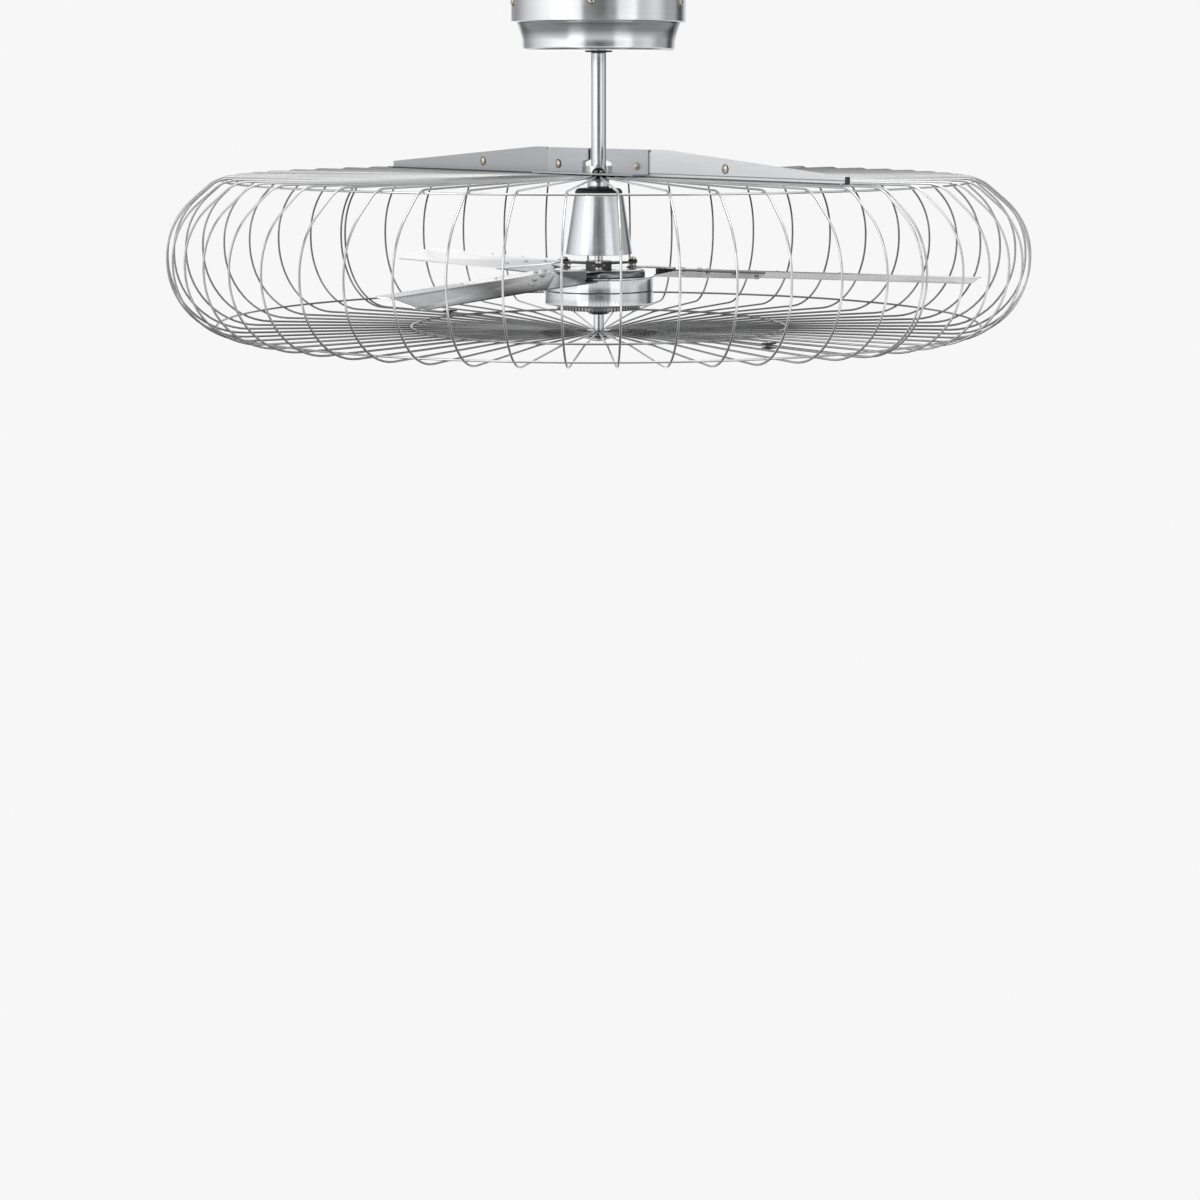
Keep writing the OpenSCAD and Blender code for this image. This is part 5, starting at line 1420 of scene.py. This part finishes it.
@dataclass
class Blades(Assembly):
    """The spider, its posts, the blade irons and the three folded blades."""

    body: Body = Body.ROTOR
    first: float = 2.5
    post_radius: float = 0.057
    post_turn: float = 27.5
    arm: tuple[float, float] = (-0.391, -0.394)
    tip: float = 0.549
    root: float = 0.112
    taper: float = 0.110
    upper_strip: float = 0.022
    lower_strip: float = 0.047
    fold: float = 0.010
    upper_slope: float = 4.0
    lower_slope: float = 14.4
    twists: tuple[float, ...] = (0.0, -0.6, 0.65)
    droops: tuple[float, ...] = (1.8, 0.7, 0.75)
    # Each blade has its own copy of the blade sheet with painted light and shade: the second a lighter tone,
    # the third a lighter tone with painted shade.
    finishes: tuple[str, ...] = ("blade satin", "blade satin painted lighter", "blade satin painted light and shade")
    fold_height: float = -0.3958
    sheet: float = 0.002
    tip_bends: tuple[float, float] = (0.014, 0.006)
    rivet_line: float = -0.024
    rivet_places: tuple[float, float] = (0.255, 0.345)

    def build(self) -> None:
        """Build the pieces from the hub outwards."""
        self.keep("black paint", "spider")
        self.keep("black rubber", "rubber_bushes")
        self.make_hub_band()
        self.make_posts()
        for k in range(3):
            angle = self.first + 120 * k
            self.keep("dark iron", f"blade_iron_{k + 1}", turn=angle)
            self.make_blade(k, angle)
        self.make_fasteners()

    def make_hub_band(self) -> None:
        """A bright band round the spider's hub, under its arms."""
        band = Bench.tube("spider_hub_band", (0.01795, 0.0184), (self.arm[1] - 0.0046, self.arm[1] - 0.0002),
                          steps=96, edge=0.0001)
        self.hand_in(band, "ground steel", Slot.ZINC)

    def slope_at(self, number: int, w: float) -> float:
        """Slope of one blade at w ahead of its line, in degrees; each blade is set a little differently."""
        return (self.upper_slope if w < -self.fold else self.lower_slope) + self.twists[number]

    def surface(self, number: int, s: float, w: float) -> float:
        """Height of a blade's upper face, s out from the axis and w ahead of its line."""
        fall = s * math.tan(math.radians(self.droops[number]))
        return self.fold_height - fall - (w + self.fold) * math.tan(math.radians(self.slope_at(number, w)))

    def make_blade(self, number: int, angle: float) -> None:
        """Fold one blade from sheet: its section is drawn out to the tip, then trimmed."""
        edge_in, edge_out = -self.fold - self.upper_strip, -self.fold + self.lower_strip
        start = self.root - 0.027
        corners = [(edge_in, 0.0), (-self.fold, 0.0), (edge_out, 0.0)]
        top = [(start, w, self.surface(number, start, w)) for w, _ in corners]
        under = [(start, w, z - self.sheet) for _, w, z in reversed(top)]
        blade = Bench.trace(f"blade_sheet_{number + 1}", top + under)
        bpy.ops.mesh.edge_face_add()
        length = self.tip - start
        bpy.ops.mesh.extrude_region_move(TRANSFORM_OT_translate={
            "value": (length, 0, -length * math.tan(math.radians(self.droops[number])))})
        bpy.ops.mesh.select_all(action="SELECT")
        bpy.ops.mesh.normals_make_consistent(inside=False)
        knee = (self.root + self.upper_strip, 0.0)
        self.trim((self.root, edge_in), knee)
        self.trim(knee, (self.root + self.taper, edge_out))
        Bench.pick(lambda co: co.x > self.tip - 0.001 and co.y > edge_out - 0.0005)
        bpy.ops.mesh.bevel(offset=self.tip_bends[0], segments=8, affect="EDGES")
        Bench.pick(lambda co: co.x > self.tip - 0.001 and co.y < edge_in + 0.0005)
        bpy.ops.mesh.bevel(offset=self.tip_bends[1], segments=5, affect="EDGES")
        Bench.pick(lambda co: abs(co.y + self.fold) < 0.0003)
        bpy.ops.mesh.bevel(offset=0.0016, segments=4, affect="EDGES")
        bpy.ops.object.mode_set(mode="OBJECT")
        Bench.soften(blade, 0.0003, angle=35)
        blade.data.transform(turned(angle))
        self.hand_in(blade, self.finishes[number], Slot.BLADE, [f"blade_{number + 1}"], turn=angle)

    @staticmethod
    def trim(first: tuple[float, float], second: tuple[float, float]) -> None:
        """Cut away what lies inwards of a line across the blade."""
        run = Vector((second[0] - first[0], second[1] - first[1], 0.0))
        out = Vector((run.y, -run.x, 0.0)).normalized()
        bpy.ops.mesh.select_all(action="SELECT")
        bpy.ops.mesh.bisect(plane_co=(*first, 0.0), plane_no=out, use_fill=True, clear_inner=True)

    def make_posts(self) -> None:
        """Brass posts: a round head, a shank through the bush and a spacer on the iron."""
        shank, head, top = 0.003, 0.005, self.arm[0] + 0.006
        post = Bench.turn("post", [
            (0.0, -0.4085), (shank, -0.4085), (shank, -0.398), (head, -0.398), (head, -0.3945),
            (shank, -0.394), (shank, -0.389), (head, -0.389), (head, top - 0.0012), (head - 0.0012, top),
            (0.0, top)], closed=False, steps=32, edge=0.0003)
        for turn in (0.0, 60.0, 120.0):
            slot = Bench.block("slot", (0.0042, 0.0024, 0.003), (0.0, 0.0, top))
            slot.data.transform(turned(turn))
            Bench.cut(post, slot)
        out = Matrix.Translation((self.post_radius, 0, 0))
        places = [turned(self.first + self.post_turn + 120 * k) @ out for k in range(3)]
        self.hand_in(Bench.repeat("brass_post_set", post, places), "brass plate", Slot.BRASS,
                     ["brass_posts"])

    def make_fasteners(self) -> None:
        """Screws and nuts that hold each blade to its iron, and the rivets on the upper strip."""
        screw = PanScrew(head=0.0037, rise=0.002, shank=0.0019, length=0.0055).build("screw")
        nut = HexNut(across=0.0066, height=0.0024, thread=0.0019, stub=0.001).build("nut")
        nut.data.transform(Matrix.Translation((0, 0, -2 * self.sheet)) @ Matrix.Rotation(math.pi, 4, "X"))
        screw = Bench.join("screw", [screw, nut])
        rivet = Bench.turn("rivet", [
            (0.0012, -0.0005), (0.0021, -0.0001), (0.0019, 0.0006), (0.0011, 0.0011), (0.0, 0.0012)],
            closed=False, steps=16, edge=0.0)
        shares = [(0.07, -0.6 * self.upper_strip), (0.29, -0.6 * self.upper_strip),
                  (0.41, 0.1 * self.lower_strip), (0.77, 0.3 * self.lower_strip),
                  (1.07, 0.6 * self.lower_strip)]
        spots = [(self.root + share * self.taper, across - self.fold) for share, across in shares]
        screws = [self.on_blade(k, s, w) for k in range(3) for s, w in spots]
        rivets = [self.on_blade(k, s, self.rivet_line) for k in range(3) for s in self.rivet_places]
        self.hand_in(Bench.repeat("blade_screw_set", screw, screws), "zinc plate", Slot.ZINC,
                     ["blade_screws"])
        self.hand_in(Bench.repeat("blade_rivet_set", rivet, rivets), "zinc plate", Slot.ZINC)

    def on_blade(self, number: int, s: float, w: float) -> Matrix:
        """A place on a blade's upper face, looking away from it."""
        place = turned(self.first + 120 * number) @ Matrix.Translation((s, w, self.surface(number, s, w)))
        return place @ Matrix.Rotation(math.radians(-self.slope_at(number, w)), 4, "X")


# Studio


@dataclass
class Studio:
    """The camera of the photograph, a pale floor and soft light."""

    pale: float = 0.93
    brightest: float = 1.4
    card_glow: float = 1.18
    card_size: Point = (0.58, 0.01, 1.08)
    card_place: Point = (-0.17, 0.80, -0.63)
    floor_height: float = -2.45
    floor_fade: tuple[float, float] = (3.4, 4.6)
    eye: Point = (0.0019, -3.675, -0.140)
    pitch: float = 78.52
    lens: float = 76.23

    def build(self) -> None:
        """Set the stage."""
        self.make_camera()
        self.make_world()
        self.make_floor()
        self.make_card()
        self.make_lamps()
        bpy.context.scene.view_settings.view_transform = "Standard"

    def make_camera(self) -> None:
        """The camera, a little below the canopy and pitched down."""
        lens = bpy.data.cameras.new("photo_camera")
        lens.sensor_width = 36.0
        lens.lens = self.lens
        lens.clip_end = 60.0
        camera = bpy.data.objects.new("photo_camera", lens)
        camera.location = self.eye
        camera.rotation_euler = (math.radians(self.pitch), 0.0, 0.0)
        bpy.context.scene.collection.objects.link(camera)
        bpy.context.scene.camera = camera

    def make_world(self) -> None:
        """A pale background, and for light and reflections a studio of soft boxes with darker gaps."""
        world = bpy.data.worlds.new("studio")
        bpy.context.scene.world = world
        graph = Graph.fresh(world)
        x, y, z = graph.parts(graph.add("ShaderNodeTexCoord").outputs["Generated"])
        way = graph.calc("ARCTAN2", x, graph.calc("MULTIPLY", y, -1.0))
        round_ramp = self.ramp(graph, graph.calc("ADD", graph.calc("DIVIDE", way, math.tau), 0.5), [
            (-180, 0.76), (-165, 0.40), (-138, 0.34), (-122, 0.58), (-108, 0.85), (-95, 1.00), (-82, 1.22),
            (-70, 1.32), (-44, 1.32), (-40, 0.35), (-16, 0.28), (-10, 0.28), (-4, 0.15), (8, 0.15),
            (12, 0.30), (40, 0.42), (46, 0.70), (62, 0.68), (76, 0.90), (84, 0.90), (92, 0.68), (100, 0.44),
            (112, 0.48), (122, 0.44), (129, 0.10), (142, 0.08), (149, 0.50), (160, 0.80), (170, 0.80),
            (180, 0.76)], 360.0, 180.0)
        tall_ramp = self.ramp(graph, graph.calc("ADD", graph.calc("MULTIPLY", z, 0.5), 0.5), [
            (-1.0, 0.30), (-0.35, 0.45), (0.0, 0.75), (0.36, 0.95), (0.52, 0.92), (0.58, 0.36), (0.74, 0.36),
            (0.80, 1.18), (1.0, 1.18)], 2.0, 1.0)
        window = graph.span(graph.calc("ABSOLUTE", z), 1.0, 0.0, 0.34, 0.46)
        boxes = graph.add("ShaderNodeMix", data_type="RGBA")
        graph.wire(window, boxes.inputs[0])
        graph.wire(tall_ramp, boxes.inputs[6])
        graph.wire(round_ramp, boxes.inputs[7])
        studio = graph.shader("ShaderNodeBackground", boxes.outputs[2], self.brightest)
        plain = graph.shader("ShaderNodeBackground", (self.pale,) * 3)
        seen = graph.add("ShaderNodeLightPath").outputs["Is Camera Ray"]
        graph.show(graph.choose(seen, studio, plain), "World")

    def ramp(self, graph: Graph, value: bpy.types.NodeSocket, stops: Sequence[tuple[float, float]],
             width: float, shift: float) -> bpy.types.NodeSocket:
        """A grey ramp through stops.

        Args:
            graph: the graph that it goes into.
            value: the socket that it reads, from 0 to 1.
            stops: places and brightnesses.
            width: length of the range that the places lie in.
            shift: what is added to a place before it is divided by the width.

        Returns:
            The ramp's colour, as a share of the brightest.
        """
        node = graph.add("ShaderNodeValToRGB")
        graph.wire(value, node.inputs[0])
        bits = node.color_ramp.elements
        while len(bits) < len(stops):
            bits.new(0.5)
        for bit, (place, grey) in zip(bits, sorted(stops)):
            bit.position = (place + shift) / width
            level = grey / self.brightest
            bit.color = (level * 0.99, level, level * 1.01, 1.0)
        return node.outputs[0]

    def make_floor(self) -> None:
        """A wide pale floor far below, seen plain by the camera and from above only."""
        Bench.clear()
        bpy.ops.mesh.primitive_circle_add(vertices=96, radius=9.0, fill_type="NGON",
                                          location=(0, 0, self.floor_height))
        floor = bpy.context.object
        floor.name = "studio_floor"
        bpy.ops.object.transform_apply(location=True, rotation=True, scale=True)
        material = bpy.data.materials.new("pale floor")
        graph = Graph.fresh(material)
        place = graph.add("ShaderNodeVectorMath", operation="LENGTH")
        graph.wire(graph.add("ShaderNodeTexCoord").outputs["Object"], place.inputs[0])
        near, far = (0.16, 0.16, 0.17), (0.90, 0.90, 0.90)
        tone = graph.blend(graph.span(place.outputs["Value"], 0.0, 1.0, *self.floor_fade), near, far)
        mirrored = graph.shader("ShaderNodeEmission", tone)
        matt = graph.shader("ShaderNodeBsdfDiffuse", (0.86, 0.86, 0.86))
        glow = graph.shader("ShaderNodeEmission", (self.pale,) * 3)
        clear = graph.add("ShaderNodeBsdfTransparent").outputs[0]
        rays = graph.add("ShaderNodeLightPath").outputs
        shiny = graph.choose(rays["Is Glossy Ray"], matt, mirrored)
        above = graph.choose(rays["Is Camera Ray"], shiny, glow)
        graph.show(graph.choose(graph.add("ShaderNodeNewGeometry").outputs["Backfacing"], above, clear))
        floor.data.materials.append(material)

    def make_card(self) -> None:
        """A white card close behind the cage; only reflections see it."""
        card = Bench.block("studio_card", self.card_size, self.card_place)
        material = bpy.data.materials.new("white card")
        graph = Graph.fresh(material)
        white = graph.shader("ShaderNodeEmission", (1.0, 1.0, 1.0), self.card_glow)
        clear = graph.add("ShaderNodeBsdfTransparent").outputs[0]
        seen = graph.add("ShaderNodeLightPath").outputs["Is Glossy Ray"]
        graph.show(graph.choose(seen, clear, white))
        card.data.materials.append(material)

    @staticmethod
    def make_lamps() -> None:
        """Tall soft boxes on both sides of the camera, one far at the left and one overhead."""
        lamps = [("left_front_box", (-1.03, -1.57, -0.30), (0.80, 2.0), 5.0),
                 ("right_front_box", (1.12, -1.50, -0.30), (0.86, 2.0), 4.0),
                 ("left_box", (-3.0, -2.2, 0.9), (1.0, 2.4), 14.0),
                 ("top_box", (0.0, -0.4, 3.2), (2.4, 1.6), 24.0)]
        for name, place, size, power in lamps:
            lamp = bpy.data.lights.new(name, "AREA")
            lamp.shape = "RECTANGLE"
            lamp.size, lamp.size_y = size
            lamp.energy = power
            body = bpy.data.objects.new(name, lamp)
            body.location = place
            aim = Vector((0, 0, -0.35 if place[2] > 0 else place[2])) - Vector(place)
            body.rotation_euler = aim.to_track_quat("-Z", "Y").to_euler()
            bpy.context.scene.collection.objects.link(body)


def main() -> None:
    """Build the fan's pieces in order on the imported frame."""
    logging.basicConfig(level=logging.INFO, format="%(name)s: %(message)s")
    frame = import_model()
    Studio().build()
    for part in (Canopy(frame), Downrod(frame), Bars(frame), Cage(frame), ConeCover(frame), Motor(frame),
                 Blades(frame)):
        part.build()
        log.info("built %s", type(part).__name__)
    Bench.clear()


if __name__ == "__main__":
    main()
